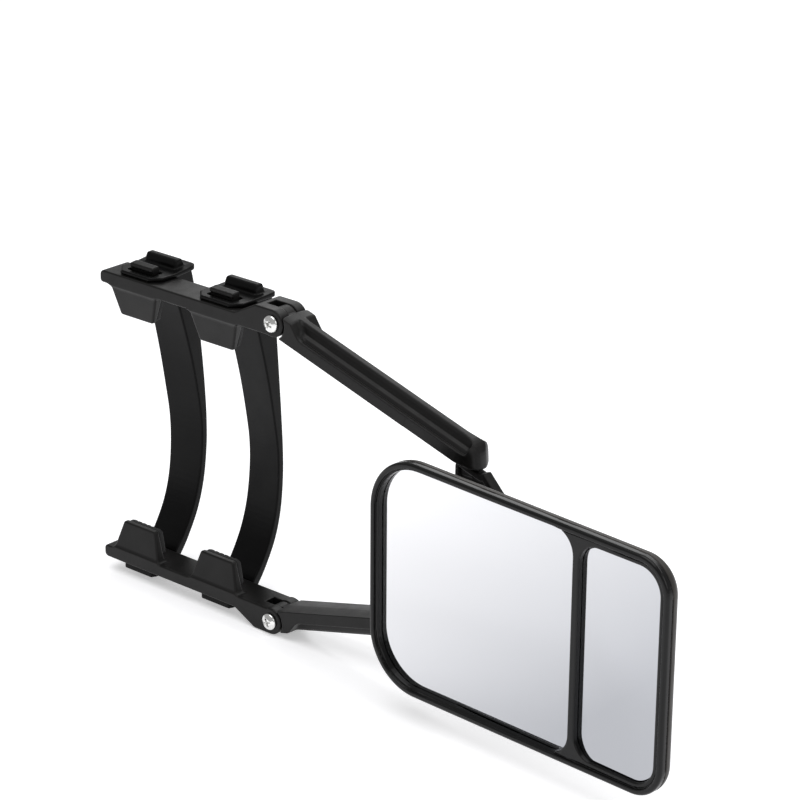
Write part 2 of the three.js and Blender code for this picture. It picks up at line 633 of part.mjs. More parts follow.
function buildBezel() {
  let bezel = alongY(headOutline(0), 0, BEZEL_DEPTH, 1.2);
  bezel = bezel.subtract(alongY(headOutline(RIM_WIDTH), -2, RIM_RISE));
  const glasses = [MAIN_GLASS, WIDE_GLASS];
  glasses.forEach((glass) => {
    const ring = glassOutline(glass, GLASS_LAP + GAP + RING_WALL);
    bezel = bezel.add(alongY(ring, BEZEL_DEPTH - 1.5, glass.front + GLASS_THICK));
  });
  glasses.forEach((glass) => {
    bezel = bezel.subtract(loft([
      { points: glassOutline(glass, glass.draft * 1.2), y: glass.front * -0.2 },
      { points: glassOutline(glass, 0), y: glass.front },
      { points: glassOutline(glass, 0), y: glass.front + 4 },
    ]));
    bezel = bezel.subtract(alongY(glassOutline(glass, GLASS_LAP + GAP), glass.front - GAP, glass.front + 8));
  });
  place('front_bezel', toGeometry(bezel), PLASTIC, head);
}

function buildGlasses() {
  const main = alongY(glassOutline(MAIN_GLASS, GLASS_LAP), MAIN_GLASS.front, MAIN_GLASS.front + GLASS_THICK);
  place('main_mirror_glass', toGeometry(main), MIRROR, head);
  const mainPad = alongY(glassOutline(MAIN_GLASS, -6), MAIN_GLASS.front + GLASS_THICK + GAP, 14);
  place('main_glass_backing', toGeometry(mainPad), FOAM, head);

  // Convex glass: a flat flange behind the opening's edge and a front that bulges along its width.
  const middle = (WIDE_GLASS.left + WIDE_GLASS.right) / 2;
  const half = (WIDE_GLASS.right - WIDE_GLASS.left) / 2;
  const rear = WIDE_GLASS.front + GLASS_THICK;
  const section = [new THREE.Vector2(middle + half, rear), new THREE.Vector2(middle - half, rear)];
  const steps = 6;
  for (let k = 0; k <= steps; k += 1) {
    const t = -1 + (2 * k) / steps;
    section.push(new THREE.Vector2(middle + t * half, WIDE_GLASS.front - WIDE_BULGE * (1 - t * t)));
  }
  const bulge = alongZ(section, -WIDE_GLASS.halfLeft - 5, WIDE_GLASS.halfLeft + 5)
    .intersect(alongY(glassOutline(WIDE_GLASS, -GAP), 0, 30));
  const wide = alongY(glassOutline(WIDE_GLASS, GLASS_LAP), WIDE_GLASS.front, rear).add(bulge);
  place('wide_angle_glass', toGeometry(wide), MIRROR, head);
  const widePad = alongY(glassOutline(WIDE_GLASS, -4), WIDE_GLASS.front + GLASS_THICK + GAP, 13.4);
  place('wide_glass_backing', toGeometry(widePad), FOAM, head);
}

// Convex body through rings of equally many points, each ring lying at its own Y.
function loft(rings) {
  const count = rings[0].points.length;
  const vertices = [];
  rings.forEach(({ points, y }) => points.forEach((point) => vertices.push(point.x, y, point.y)));
  const faces = [];
  for (let r = 0; r < rings.length - 1; r += 1) {
    for (let k = 0; k < count; k += 1) {
      const a = r * count + k;
      const b = r * count + ((k + 1) % count);
      faces.push(a, a + count, b, b, a + count, b + count);
    }
  }
  const last = (rings.length - 1) * count;
  for (let k = 1; k < count - 1; k += 1) {
    faces.push(0, k, k + 1, last, last + k + 1, last + k);
  }
  const geometry = new THREE.BufferGeometry();
  geometry.setAttribute('position', new THREE.BufferAttribute(new Float32Array(vertices), 3));
  geometry.setIndex(faces);
  return toSolid(geometry);
}

// Rounded block of the back shell: straight sides, then a back whose rim curves in.
function backBlock(inset, from, depth) {
  const rings = [{ points: headOutline(inset), y: from }];
  const round = depth - HOUSING_SIDE;
  const steps = 6;
  for (let k = 0; k <= steps; k += 1) {
    const angle = (k / steps) * (Math.PI / 2);
    const pull = inset + BACK_PULL * (1 - Math.cos(angle));
    rings.push({ points: headOutline(pull), y: HOUSING_SIDE + round * Math.sin(angle) });
  }
  return loft(rings);
}

const HOUSING_SCREWS = [[-94, 50], [-94, -50], [100, 54], [100, -54]];
const CAP_SCREW_ANGLES = [90, 210, 330];
const CAP_SCREW_RADIUS = 14.6;
const SCREW_SINK = 2.6;              // housing screw seats below the back
const CAP_FRONT = socket.y + 1.2;
const BASE_FRONT = HOUSING_DEPTH + GAP;

function buildHousing() {
  const inner = backBlock(HOUSING_WALL, BEZEL_DEPTH - 1, HOUSING_DEPTH - HOUSING_WALL);
  let housing = backBlock(0, BEZEL_DEPTH + GAP, HOUSING_DEPTH).subtract(inner);
  const seat = HOUSING_DEPTH - SCREW_SINK;
  HOUSING_SCREWS.forEach(([x, z]) => {
    housing = housing.add(bore(x, z, 4.6, 17, seat + 0.6)).subtract(bore(x, z, 1.6, 10, 40));
    housing = housing.subtract(bore(x, z, 3.4, seat, 40));
  });
  place('rear_housing', toGeometry(housing), PLASTIC, head);
}

// Cup on the flat back: a flange, then a wall round the ball's liner.
function buildSocketBase() {
  const top = CAP_FRONT - GAP;
  let base = turned([
    [0, BASE_FRONT], [22, BASE_FRONT], [22, BASE_FRONT + 2.2], [18.4, BASE_FRONT + 4.6], [SOCKET_OUTER_R + 1, top],
    [SOCKET_R, top], ...arc(socket.y, SOCKET_R, 0, -90, 5),
  ], socket.x, socket.z, 18);
  CAP_SCREW_ANGLES.forEach((angle) => {
    const [x, z] = capScrewPlace(angle);
    base = base.subtract(bore(x, z, 1.5, 30, 60));
  });
  place('socket_base', toGeometry(base), PLASTIC, head);
}

function capScrewPlace(degrees) {
  const angle = THREE.MathUtils.degToRad(degrees);
  return [socket.x + CAP_SCREW_RADIUS * Math.cos(angle), socket.z + CAP_SCREW_RADIUS * Math.sin(angle)];
}

// Screw whose head is at its far Y end.
function rearScrew(x, z, seatY, length, headR, shaftR) {
  const top = seatY + headR * 0.55;
  const body = turned([
    [0, seatY - length], [shaftR, seatY - length], [shaftR, seatY], [headR, seatY],
    [headR * 0.8, seatY + headR * 0.45], [0, top],
  ], x, z, 10);
  const reach = headR * 0.55;
  const slotW = headR * 0.15;
  const floor = seatY + headR * 0.18;
  const bars = box(x - reach, x + reach, floor, top + 1, z - slotW, z + slotW)
    .add(box(x - slotW, x + slotW, floor, top + 1, z - reach, z + reach));
  return toGeometry(body.subtract(bars));
}

function buildSocketCap() {
  const back = CAP_FRONT + 5.4;
  const first = THREE.MathUtils.radToDeg(Math.asin((CAP_FRONT - socket.y) / SOCKET_R));
  const inside = arc(socket.y, SOCKET_R, first, SOCKET_MOUTH, 4);
  const lip = inside[inside.length - 1];
  let cap = turned([
    ...inside, [lip[0] + 0.8, back], [SOCKET_OUTER_R - 1.5, back], [SOCKET_OUTER_R + 1, CAP_FRONT + 2.6],
    [SOCKET_OUTER_R + 1, CAP_FRONT], inside[0],
  ], socket.x, socket.z, 16);
  CAP_SCREW_ANGLES.forEach((angle, i) => {
    const [x, z] = capScrewPlace(angle);
    cap = cap.subtract(bore(x, z, 1.7, 30, 60));
    cap = cap.subtract(bore(x, z, 3.1, back - 2.2, 60));
    place(`cap_screw_${i + 1}`, rearScrew(x, z, back - 2.2 + GAP, 9, 2.6, 1.3), STEEL, head);
  });
  place('socket_cap', toGeometry(cap), GLOSS, head);
  HOUSING_SCREWS.forEach(([x, z], i) => {
    const seat = HOUSING_DEPTH - SCREW_SINK + GAP;
    place(`housing_screw_${i + 1}`, rearScrew(x, z, seat, 5.2, 2.9, 1.4), STEEL, head);
  });
}

buildClamps();
buildStraps();
buildArms();
buildYoke();
buildBallJoint();
buildBezel();
buildGlasses();
buildHousing();
buildSocketBase();
buildSocketCap();

export default towingMirror;
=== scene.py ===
import math

import bpy
import numpy as np
from mathutils import Matrix, Vector


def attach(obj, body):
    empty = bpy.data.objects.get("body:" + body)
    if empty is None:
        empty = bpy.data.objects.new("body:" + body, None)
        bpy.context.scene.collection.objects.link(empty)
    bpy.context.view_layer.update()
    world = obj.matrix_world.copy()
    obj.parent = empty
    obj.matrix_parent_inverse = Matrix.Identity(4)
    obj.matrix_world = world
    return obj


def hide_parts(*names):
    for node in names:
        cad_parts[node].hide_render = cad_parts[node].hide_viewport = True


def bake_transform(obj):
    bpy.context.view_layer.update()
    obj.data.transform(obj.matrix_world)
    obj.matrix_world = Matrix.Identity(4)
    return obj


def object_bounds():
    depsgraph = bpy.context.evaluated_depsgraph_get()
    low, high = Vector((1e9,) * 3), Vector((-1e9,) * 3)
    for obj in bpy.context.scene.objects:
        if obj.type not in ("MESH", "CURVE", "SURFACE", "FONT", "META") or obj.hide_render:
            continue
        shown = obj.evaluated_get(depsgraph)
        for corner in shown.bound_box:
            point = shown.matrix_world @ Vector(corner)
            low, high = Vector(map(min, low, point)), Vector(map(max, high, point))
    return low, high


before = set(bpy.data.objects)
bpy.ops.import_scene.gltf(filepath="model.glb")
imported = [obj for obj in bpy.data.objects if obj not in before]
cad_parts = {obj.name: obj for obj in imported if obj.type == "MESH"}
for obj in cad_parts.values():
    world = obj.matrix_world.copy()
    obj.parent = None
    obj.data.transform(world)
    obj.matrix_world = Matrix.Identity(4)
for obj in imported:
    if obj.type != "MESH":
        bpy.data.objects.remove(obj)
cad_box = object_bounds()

# Shapes are written in millimetres, as signed distance fields on the CAD's own axes: a field gives
# the distance to the surface, negative inside. solid() turns a field into a mesh in metres.

MM = 0.001
COARSE = 1.0

# ---- the CAD's driving dimensions ----
HINGE_X, HINGE_Z = 98.3, 116.1
BAR_DEPTH = 27.0
MID_Y = BAR_DEPTH / 2
BAR_OUTER_Z, BAR_INNER_Z = 116.0, 106.6
BAR_END_X = -73.4
KNUCKLE_R, KNUCKLE_FLAT, KNUCKLE_RAMP = 10.3, 16.0, 36.0
SLOT_WIDTH, SLOT_ROOT = 9.2, 12.3
TONGUE_WIDTH, TONGUE_R, SHOULDER_R = 8.6, 9.6, 11.6
SCREW_R, BORE_R = 3.0, 3.25
HINGE_HEAD_R, PIVOT_HEAD_R, SCREW_HEAD_H = 6.4, 5.2, 3.4
HINGE_NUT_FLATS, NUT_SEAT_Y = 10.0, 22.5
STRAP_HALF = 15.5
CLAW_X = (-40.3, 40.3)
CLAW_HEIGHT, CLAW_ROOT_HALF, CLAW_TIP_HALF = 23.3, 22.8, 16.4
ARM_LENGTH, PIVOT_S, PIVOT_H = 190.8, 179.0, -1.5
ARM_INNER_H, ARM_OUTER_H, LEDGE_H = -8.8, 9.6, 0.7
NOSE_RAKE, CROWN_START, BLIND_BORE_Y, PIVOT_SEAT_Y = 0.38, 100.0, 6.8, 24.8
NOSE_START, NOSE_SPAN, CROWN_SPAN = 176, 8, 30  # where an arm's far end grows rounder, along s
EAR_R, EAR_WIDTH, EAR_POCKET_WIDTH = 7.2, 6.4, 7.2
SLOPE = {1: math.radians(16.65), -1: math.radians(15.0)}
HEAD_CENTRE = Vector((353.7, -46.6, -17.7))
HEAD_YAW, HEAD_TILT, HEAD_ROLL = math.radians(-4.6), math.radians(0.36), math.radians(-0.78)
HALF_W, HALF_H_IN, HALF_H_OUT, R_IN, R_OUT = 131.4, 87.0, 83.9, 42.0, 25.0
BEZEL_DEPTH, HOUSING_SIDE, HOUSING_DEPTH, BACK_PULL = 5.2, 7.5, 23.5, 40.0
HOUSING_WALL = 2.0
RIM_WIDTH, RIM_RISE = 4.3, 1.6
MAIN_GLASS = dict(left=-124.3, right=50.3, half_left=80.7, half_right=80.4, r_left=35.3, r_right=16.5,
                  front=6.4, draft=0.5)
WIDE_GLASS = dict(left=56.3, right=123.1, half_left=76.0, half_right=75.8, r_left=15.0, r_right=17.0,
                  front=5.8, draft=0.5)
GLASS_LAP, GLASS_THICK, RING_WALL = 1.1, 2.2, 0.6
WIDE_BULGE = 2.2
BALL = Vector((330.0, -4.0, -17.7))
BALL_R, LINER_IN, LINER_OUT, SOCKET_R = 9.0, 9.6, 11.2, 11.9
SOCKET_MOUTH, LINER_TOP = 34, 32  # degrees up from the ball's equator
CAP_HEIGHT, CAP_SCREW_CIRCLE, CAP_SCREW_ANGLES = 5.4, 14.6, (90, 210, 330)
LIGHT_GAP = 0.3  # between pieces that touch
SHARP = 1e-6  # the least fillet
NUDGE = 0.03  # the step over which a field's slope is measured

# ---- mesh cells, in millimetres ----
BAR_CELL, PAD_CELL, STRAP_CELL, ARM_CELL, YOKE_CELL = 0.7, 0.5, 0.75, 0.62, 0.62
SCREW_CELL, SMALL_SCREW_CELL, STUD_NUT_CELL, BALL_CELL = 0.3, 0.2, 0.35, 0.4
BEZEL_CELL, HOUSING_CELL, BASE_CELL, CAP_CELL = 0.8, 1.15, 0.5, 0.45


# ---- distance fields ----
def polygon(points):
    """Distance to a closed outline, for broadcastable arrays u and v."""
    corners = np.array(points, dtype=float)
    edges = list(zip(corners, np.roll(corners, -1, axis=0)))

    def distance(u, v):
        u, v = np.broadcast_arrays(u, v)
        best = np.full(u.shape, 1e12)
        odd = np.zeros(u.shape, dtype=bool)
        for (ax, ay), (bx, by) in edges:
            ex, ey = bx - ax, by - ay
            size = ex * ex + ey * ey
            if size < 1e-12:
                continue
            wx, wy = u - ax, v - ay
            t = np.clip((wx * ex + wy * ey) / size, 0, 1)
            best = np.minimum(best, (wx - ex * t) ** 2 + (wy - ey * t) ** 2)
            if ay != by:
                odd ^= ((ay > v) != (by > v)) & (u < ex * wy / ey + ax)
        return np.where(odd, -1.0, 1.0) * np.sqrt(best)

    return distance


def outline(corners, steps=8):
    """Outline through corners (u, v, radius): a corner with a radius is rounded."""
    points = []
    count = len(corners)
    for i, corner in enumerate(corners):
        here = np.array(corner[:2], dtype=float)
        radius = corner[2] if len(corner) > 2 else 0
        if radius <= 0:
            points.append(here)
            continue
        back = np.array(corners[i - 1][:2]) - here
        ahead = np.array(corners[(i + 1) % count][:2]) - here
        back /= np.linalg.norm(back)
        ahead /= np.linalg.norm(ahead)
        half = math.acos(np.clip(back @ ahead, -1, 1)) / 2
        middle = back + ahead
        centre = here + middle / np.linalg.norm(middle) * radius / math.sin(half)
        reach = radius / math.tan(half)
        first = here + back * reach - centre
        last = here + ahead * reach - centre
        start = math.atan2(first[1], first[0])
        turn = math.atan2(last[1], last[0]) - start
        turn = math.atan2(math.sin(turn), math.cos(turn))
        for k in range(steps + 1):
            angle = start + turn * k / steps
            points.append(centre + radius * np.array((math.cos(angle), math.sin(angle))))
    return points


def smooth_curve(points, count):
    """Catmull-Rom points through a list of (u, v)."""
    pts = np.array([points[0], *points, points[-1]], dtype=float)
    out = []
    spans = len(points) - 1
    for k in range(count + 1):
        s = min(spans * k / count, spans - 1e-9)
        i = int(s)
        t = s - i
        p0, p1, p2, p3 = pts[i : i + 4]
        out.append(0.5 * (2 * p1 + (p2 - p0) * t + (2 * p0 - 5 * p1 + 4 * p2 - p3) * t * t
                          + (3 * p1 - p0 - 3 * p2 + p3) * t ** 3))
    return out


def rounded(flat, side, radius):
    """The overlap of two fields, with its outer edge rounded."""
    a, b = flat + radius, side + radius
    return np.minimum(np.maximum(a, b), 0) + np.hypot(np.maximum(a, 0), np.maximum(b, 0)) - radius


def extrude(flat, along, low, high, radius=0.0):
    """A flat shape drawn out from low to high, its end edges rounded."""
    return rounded(flat, np.abs(along - (low + high) / 2) - (high - low) / 2, radius)


def join(a, b, fillet=0.0):
    """The union of two fields, with a fillet where they meet. fillet may vary from point to point."""
    fillet = np.maximum(fillet, SHARP)
    near = np.maximum(fillet - np.abs(a - b), 0) / fillet
    return np.minimum(a, b) - near * near * fillet / 4


def cut(a, b, edge=0.0):
    """a with b taken away, and the cut's edge eased."""
    return -join(-a, b, edge)


def overlap(a, b, edge=0.0):
    """What a and b share, with the edge between them eased."""
    return -join(-a, -b, edge)


def cylinder(u, v, cu, cv, radius):
    return np.hypot(u - cu, v - cv) - radius


def block(u, v, low_u, high_u, low_v, high_v, radius=0.0):
    du = np.abs(u - (low_u + high_u) / 2) - (high_u - low_u) / 2 + radius
    dv = np.abs(v - (low_v + high_v) / 2) - (high_v - low_v) / 2 + radius
    return np.minimum(np.maximum(du, dv), 0) + np.hypot(np.maximum(du, 0), np.maximum(dv, 0)) - radius


# ---- from field to mesh ----
def surface_net(field, low, high, step):
    """Points and quads of the field's zero surface inside a box."""
    axes = [np.arange(low[i] - 1.7 * step, high[i] + 2.7 * step, step) for i in range(3)]
    shape = tuple(len(a) for a in axes)
    grid = field(axes[0][:, None, None], axes[1][None, :, None], axes[2][None, None, :])
    grid = np.broadcast_to(grid, shape).astype(np.float32)
    cells, spots, rings, flips = [], [], [], []
    for axis in range(3):
        b, c = (axis + 1) % 3, (axis + 2) % 3
        first = [slice(None)] * 3
        second = [slice(None)] * 3
        first[axis], second[axis] = slice(0, -1), slice(1, None)
        start, stop = grid[tuple(first)], grid[tuple(second)]
        index = np.argwhere((start < 0) != (stop < 0))
        index = index[(index[:, b] > 0) & (index[:, b] < shape[b] - 1)]
        index = index[(index[:, c] > 0) & (index[:, c] < shape[c] - 1)]
        d0 = start[tuple(index.T)]
        d1 = stop[tuple(index.T)]
        spot = index.astype(float)
        spot[:, axis] += d0 / (d0 - d1)
        around = []
        for ob, oc in ((-1, -1), (0, -1), (0, 0), (-1, 0)):
            cell = index.copy()
            cell[:, b] += ob
            cell[:, c] += oc
            number = (cell[:, 0] * shape[1] + cell[:, 1]) * shape[2] + cell[:, 2]
            around.append(number)
            cells.append(number)
            spots.append(spot)
        rings.append(np.stack(around, axis=1))
        flips.append(d0 >= 0)
    numbers, inverse = np.unique(np.concatenate(cells), return_inverse=True)
    spots = np.concatenate(spots)
    tally = np.bincount(inverse)
    points = np.stack([np.bincount(inverse, weights=spots[:, i]) / tally for i in range(3)], axis=1)
    points = points * step + np.array([a[0] for a in axes])
    quads = np.searchsorted(numbers, np.concatenate(rings))
    flip = np.concatenate(flips)
    quads[flip] = quads[flip][:, ::-1]
    return points, quads


def settle(field, points, step):
    """Moves points onto the zero surface. Returns them with the surface's normals."""
    def at(p):
        return np.broadcast_to(field(p[:, 0], p[:, 1], p[:, 2]), len(p))

    def slope(p):
        sides = []
        for i in range(3):
            offset = np.zeros(3)
            offset[i] = NUDGE
            sides.append((at(p + offset) - at(p - offset)) / (2 * NUDGE))
        return np.stack(sides, axis=1)

    gradient = slope(points)
    for _ in range(2):
        size = np.maximum((gradient ** 2).sum(axis=1), 0.05)
        move = gradient * (at(points) / size)[:, None]
        length = np.linalg.norm(move, axis=1, keepdims=True)
        points = points - move * np.minimum(1, 0.8 * step / np.maximum(length, 1e-9))
    gradient = slope(points)
    length = np.maximum(np.linalg.norm(gradient, axis=1, keepdims=True), 1e-9)
    return points, gradient / length


def placed(name, data):
    """An object of the data, linked into the scene."""
    obj = bpy.data.objects.new(name, data)
    bpy.context.scene.collection.objects.link(obj)
    return obj


def solid(name, field, low, high, step, place=None, warp=None):
    """A mesh object of the field's surface. place is a matrix in millimetres; warp moves points."""
    step = step * COARSE
    points, quads = surface_net(field, low, high, step)
    points, normals = settle(field, points, step)
    if warp is not None:
        points = warp(points)
    if place is not None:
        turn = np.array(place.to_3x3())
        points = points @ turn.T + np.array(place.to_translation())
        normals = normals @ turn.T
    mesh = bpy.data.meshes.new(name)
    mesh.vertices.add(len(points))
    mesh.vertices.foreach_set("co", (points * MM).astype(np.float32).ravel())
    mesh.loops.add(quads.size)
    mesh.loops.foreach_set("vertex_index", quads.astype(np.int32).ravel())
    mesh.polygons.add(len(quads))
    mesh.polygons.foreach_set("loop_start", np.arange(0, quads.size, 4, dtype=np.int32))
    mesh.polygons.foreach_set("use_smooth", np.ones(len(quads), dtype=bool))
    mesh.update(calc_edges=True)
    mesh.validate()
    if warp is None:
        mesh.normals_split_custom_set_from_vertices(normals.astype(np.float32))
    return placed(name, mesh)


def stands_for(obj, node, body, material):
    """obj replaces the CAD node, moves with the body and wears the material."""
    obj.data.materials.clear()
    obj.data.materials.append(material)
    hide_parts(node)
    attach(obj, body)
    return obj


# ---- materials ----
def node_of(material, kind, **inputs):
    node = material.node_tree.nodes.new(kind)
    for key, value in inputs.items():
        node.inputs[key].default_value = value
    return node


def new_material(name):
    material = bpy.data.materials.new(name)
    material.use_nodes = True
    shader = material.node_tree.nodes["Principled BSDF"]
    return material, shader, material.node_tree.links


def ramp(material, source, low, high, position=(0.3, 0.7)):
    node = material.node_tree.nodes.new("ShaderNodeValToRGB")
    node.color_ramp.elements[0].position, node.color_ramp.elements[1].position = position
    node.color_ramp.elements[0].color = low
    node.color_ramp.elements[1].color = high
    material.node_tree.links.new(source, node.inputs["Fac"])
    return node


def grey(value):
    return (value, value, value * 1.02, 1)


def tint(value, warm):
    return (value * (1 + warm), value, value * (1.02 - warm), 1)


def moulded(name, dark, light, rough, grain, grain_depth, shine=0.3, coat=0.0, warm=0.0):
    """Moulded polymer: broad tone variation, patchy gloss and a fine surface grain."""
    material, shader, links = new_material(name)
    place = material.node_tree.nodes.new("ShaderNodeTexCoord")
    patches = node_of(material, "ShaderNodeTexNoise", Scale=22.0, Detail=4.0, Roughness=0.55)
    links.new(place.outputs["Object"], patches.inputs["Vector"])
    tone = ramp(material, patches.outputs["Fac"], tint(dark, warm), tint(light, warm))
    links.new(tone.outputs["Color"], shader.inputs["Base Color"])
    haze = node_of(material, "ShaderNodeTexNoise", Scale=60.0, Detail=5.0, Roughness=0.6)
    links.new(place.outputs["Object"], haze.inputs["Vector"])
    gloss = ramp(material, haze.outputs["Fac"], grey(rough[0]), grey(rough[1]))
    links.new(gloss.outputs["Color"], shader.inputs["Roughness"])
    fine = node_of(material, "ShaderNodeTexVoronoi", Scale=grain)
    links.new(place.outputs["Object"], fine.inputs["Vector"])
    bump = node_of(material, "ShaderNodeBump", Strength=0.35, Distance=grain_depth)
    links.new(fine.outputs["Distance"], bump.inputs["Height"])
    links.new(bump.outputs["Normal"], shader.inputs["Normal"])
    shader.inputs["Specular IOR Level"].default_value = shine
    shader.inputs["Coat Weight"].default_value = coat
    shader.inputs["Coat Roughness"].default_value = 0.25
    return material


def plated(name):
    """Bright plated steel with faint turning marks."""
    material, shader, links = new_material(name)
    place = material.node_tree.nodes.new("ShaderNodeTexCoord")
    marks = node_of(material, "ShaderNodeTexNoise", Scale=900.0, Detail=3.0)
    links.new(place.outputs["Object"], marks.inputs["Vector"])
    gloss = ramp(material, marks.outputs["Fac"], grey(0.08), grey(0.16))
    links.new(gloss.outputs["Color"], shader.inputs["Roughness"])
    tone = ramp(material, marks.outputs["Fac"], (0.72, 0.72, 0.71, 1), (0.86, 0.86, 0.85, 1))
    links.new(tone.outputs["Color"], shader.inputs["Base Color"])
    shader.inputs["Metallic"].default_value = 1.0
    return material


def mirror_with_painted_reflection(name, low, high):
    """Silvered glass with a painted reflection: a grey that falls from light to dark across its length and
    height is put into its base colour in place of what the glass reflects, with faint handling haze.
    """
    material, shader, links = new_material(name)
    place = material.node_tree.nodes.new("ShaderNodeTexCoord")
    split = material.node_tree.nodes.new("ShaderNodeSeparateXYZ")
    links.new(place.outputs["Object"], split.inputs["Vector"])
    # Painted reflection: the base colour grows lighter towards -X and towards +Z, standing in for the light
    # that the glass reflects.
    across = node_of(material, "ShaderNodeMath")
    across.operation = "MULTIPLY_ADD"
    across.inputs[1].default_value = -3.2
    across.inputs[2].default_value = 0.5 + 3.2 * 0.335
    links.new(split.outputs["X"], across.inputs[0])
    upward = node_of(material, "ShaderNodeMath")
    upward.operation = "MULTIPLY_ADD"
    upward.inputs[1].default_value = 3.6
    links.new(split.outputs["Z"], upward.inputs[0])
    links.new(across.outputs["Value"], upward.inputs[2])
    tone = ramp(material, upward.outputs["Value"], low, high, (0.0, 1.0))
    links.new(tone.outputs["Color"], shader.inputs["Base Color"])
    haze = node_of(material, "ShaderNodeTexNoise", Scale=35.0, Detail=4.0)
    links.new(place.outputs["Object"], haze.inputs["Vector"])
    gloss = ramp(material, haze.outputs["Fac"], grey(0.02), grey(0.06))
    links.new(gloss.outputs["Color"], shader.inputs["Roughness"])
    shader.inputs["Metallic"].default_value = 1.0
    return material


def foam(name):
    material, shader, links = new_material(name)
    place = material.node_tree.nodes.new("ShaderNodeTexCoord")
    cells = node_of(material, "ShaderNodeTexVoronoi", Scale=900.0)
    links.new(place.outputs["Object"], cells.inputs["Vector"])
    tone = ramp(material, cells.outputs["Distance"], grey(0.02), grey(0.06))
    links.new(tone.outputs["Color"], shader.inputs["Base Color"])
    shader.inputs["Roughness"].default_value = 0.9
    return material


PLASTIC = moulded("frame_plastic", 0.004, 0.007, (0.32, 0.46), 1500.0, 0.00008, shine=0.21, warm=0.05)
HEAD_PLASTIC = moulded("head_plastic", 0.003, 0.005, (0.16, 0.26), 1700.0, 0.00003, shine=0.25)
# Shell plastic: a dark moulded polymer whose lighter, warm brown tone is painted sheen, standing in for soft
# overhead light reflected off the housing.
SHELL_PLASTIC_PAINTED_SHEEN = moulded("shell_plastic_painted_sheen", 0.015, 0.024, (0.42, 0.52), 1500.0, 0.0001, shine=0.42, warm=0.16)
JOINT_PLASTIC = moulded("joint_plastic", 0.005, 0.008, (0.22, 0.32), 1500.0, 0.00005)
STRAP = moulded("strap_rubber", 0.002, 0.004, (0.3, 0.42), 900.0, 0.000006, shine=0.1)
PAD = moulded("pad_rubber", 0.012, 0.018, (0.6, 0.75), 700.0, 0.0002)
STEEL = plated("bright_steel")
# The glass's grey, from 0.44 up to 0.84, is a painted reflection and not the glass's own tint.
GLASS = mirror_with_painted_reflection("mirror_glass", (0.44, 0.45, 0.475, 1), (0.84, 0.84, 0.85, 1))
FOAM = foam("foam")


# ---- clamp bars ----
def bar_outline():
    top = HINGE_Z + KNUCKLE_R
    below = math.asin((HINGE_Z - BAR_INNER_Z) / KNUCKLE_R)
    points = outline([
        (HINGE_X - KNUCKLE_R * math.cos(below), BAR_INNER_Z), (BAR_END_X, BAR_INNER_Z, 2.6),
        (BAR_END_X, BAR_OUTER_Z, 3.4), (HINGE_X - KNUCKLE_RAMP, BAR_OUTER_Z, 6),
        (HINGE_X - KNUCKLE_FLAT, top, 5), (HINGE_X, top),
    ], 6)
    turn = math.pi * 1.5 - below
    steps = 40
    for k in range(1, steps):
        angle = math.pi / 2 - turn * k / steps
        points.append((HINGE_X + KNUCKLE_R * math.cos(angle), HINGE_Z + KNUCKLE_R * math.sin(angle)))
    return points


def hexagon(cu, cv, flats):
    reach = flats / math.sqrt(3)
    angles = [math.pi * k / 3 for k in range(6)]
    return [(cu + reach * math.cos(angle), cv + reach * math.sin(angle)) for angle in angles]


def bar_field(side):
    body = polygon(bar_outline())
    tip = BAR_INNER_Z - CLAW_HEIGHT
    claws = []
    for cx in CLAW_X:
        claws.append(polygon(outline([
            (cx - CLAW_ROOT_HALF - 1, BAR_INNER_Z + 2), (cx - CLAW_ROOT_HALF + 0.4, BAR_INNER_Z - 3.6),
            (cx - CLAW_TIP_HALF, tip, 2.6), (cx + CLAW_TIP_HALF, tip, 2.6),
            (cx + CLAW_ROOT_HALF - 0.4, BAR_INNER_Z - 3.6), (cx + CLAW_ROOT_HALF + 1, BAR_INNER_Z + 2),
        ])))
    flank = polygon(outline([
        (1.0, BAR_INNER_Z + 2), (1.1, BAR_INNER_Z - 2), (4.7, tip, 1.2), (9.1, tip, 1.2),
        (8.6, BAR_INNER_Z - 2.5), (9.0, BAR_INNER_Z + 2),
    ]))
    peg = polygon(outline([
        (10.6, BAR_OUTER_Z - 3), (10.6, BAR_OUTER_Z + 4.6), (9.6, BAR_OUTER_Z + 5.4),
        (9.6, BAR_OUTER_Z + 8.2, 1.2), (17.6, BAR_OUTER_Z + 9, 1.8), (17.6, BAR_OUTER_Z - 3),
    ]))
    pocket = polygon(hexagon(HINGE_X, HINGE_Z, 10.6))
    ribs = ((BAR_END_X + 2, CLAW_X[0] - 22.4), (CLAW_X[0] + 22.4, CLAW_X[1] - 22.4))

    def field(x, y, z):
        z = z * side
        shape = extrude(body(x, z), y, 0, BAR_DEPTH, 1.1)
        for claw in claws:
            shape = join(shape, overlap(claw(x, z), flank(y, z), 1.8), 3.4)
        shape = np.maximum(shape, -y)
        peg_profile = peg(y, z)
        for cx in CLAW_X:
            shape = join(shape, rounded(peg_profile, np.abs(x - cx) - 11.4, 1.0), 1.2)
        if side < 0:
            for low, high in ribs:
                rib = block(y, z, 9, 20, BAR_OUTER_Z - 3, BAR_OUTER_Z + 4.8, 1.4)
                shape = join(shape, extrude(rib, x, low, high, 1.0), 1.2)
        slot = block(x, z, HINGE_X - SLOT_ROOT, HINGE_X + 40, 60, 160, 1.5)
        shape = cut(shape, np.maximum(slot, np.abs(y - MID_Y) - SLOT_WIDTH / 2), 0.7)
        shape = cut(shape, cylinder(x, z, HINGE_X, HINGE_Z, BORE_R), 0.4)
        return cut(shape, np.maximum(pocket(x, z), NUT_SEAT_Y - y), 0.5)

    return field


def make_bars():
    for name, side in (("upper", 1), ("lower", -1)):
        low_z, high_z = sorted((side * 82, side * 128))
        obj = solid(f"{name}_bar_moulding", bar_field(side), (-75, -1, low_z), (110, 28, high_z), BAR_CELL)
        stands_for(obj, f"{name}_clamp_bar", f"{name}_clamp", PLASTIC)


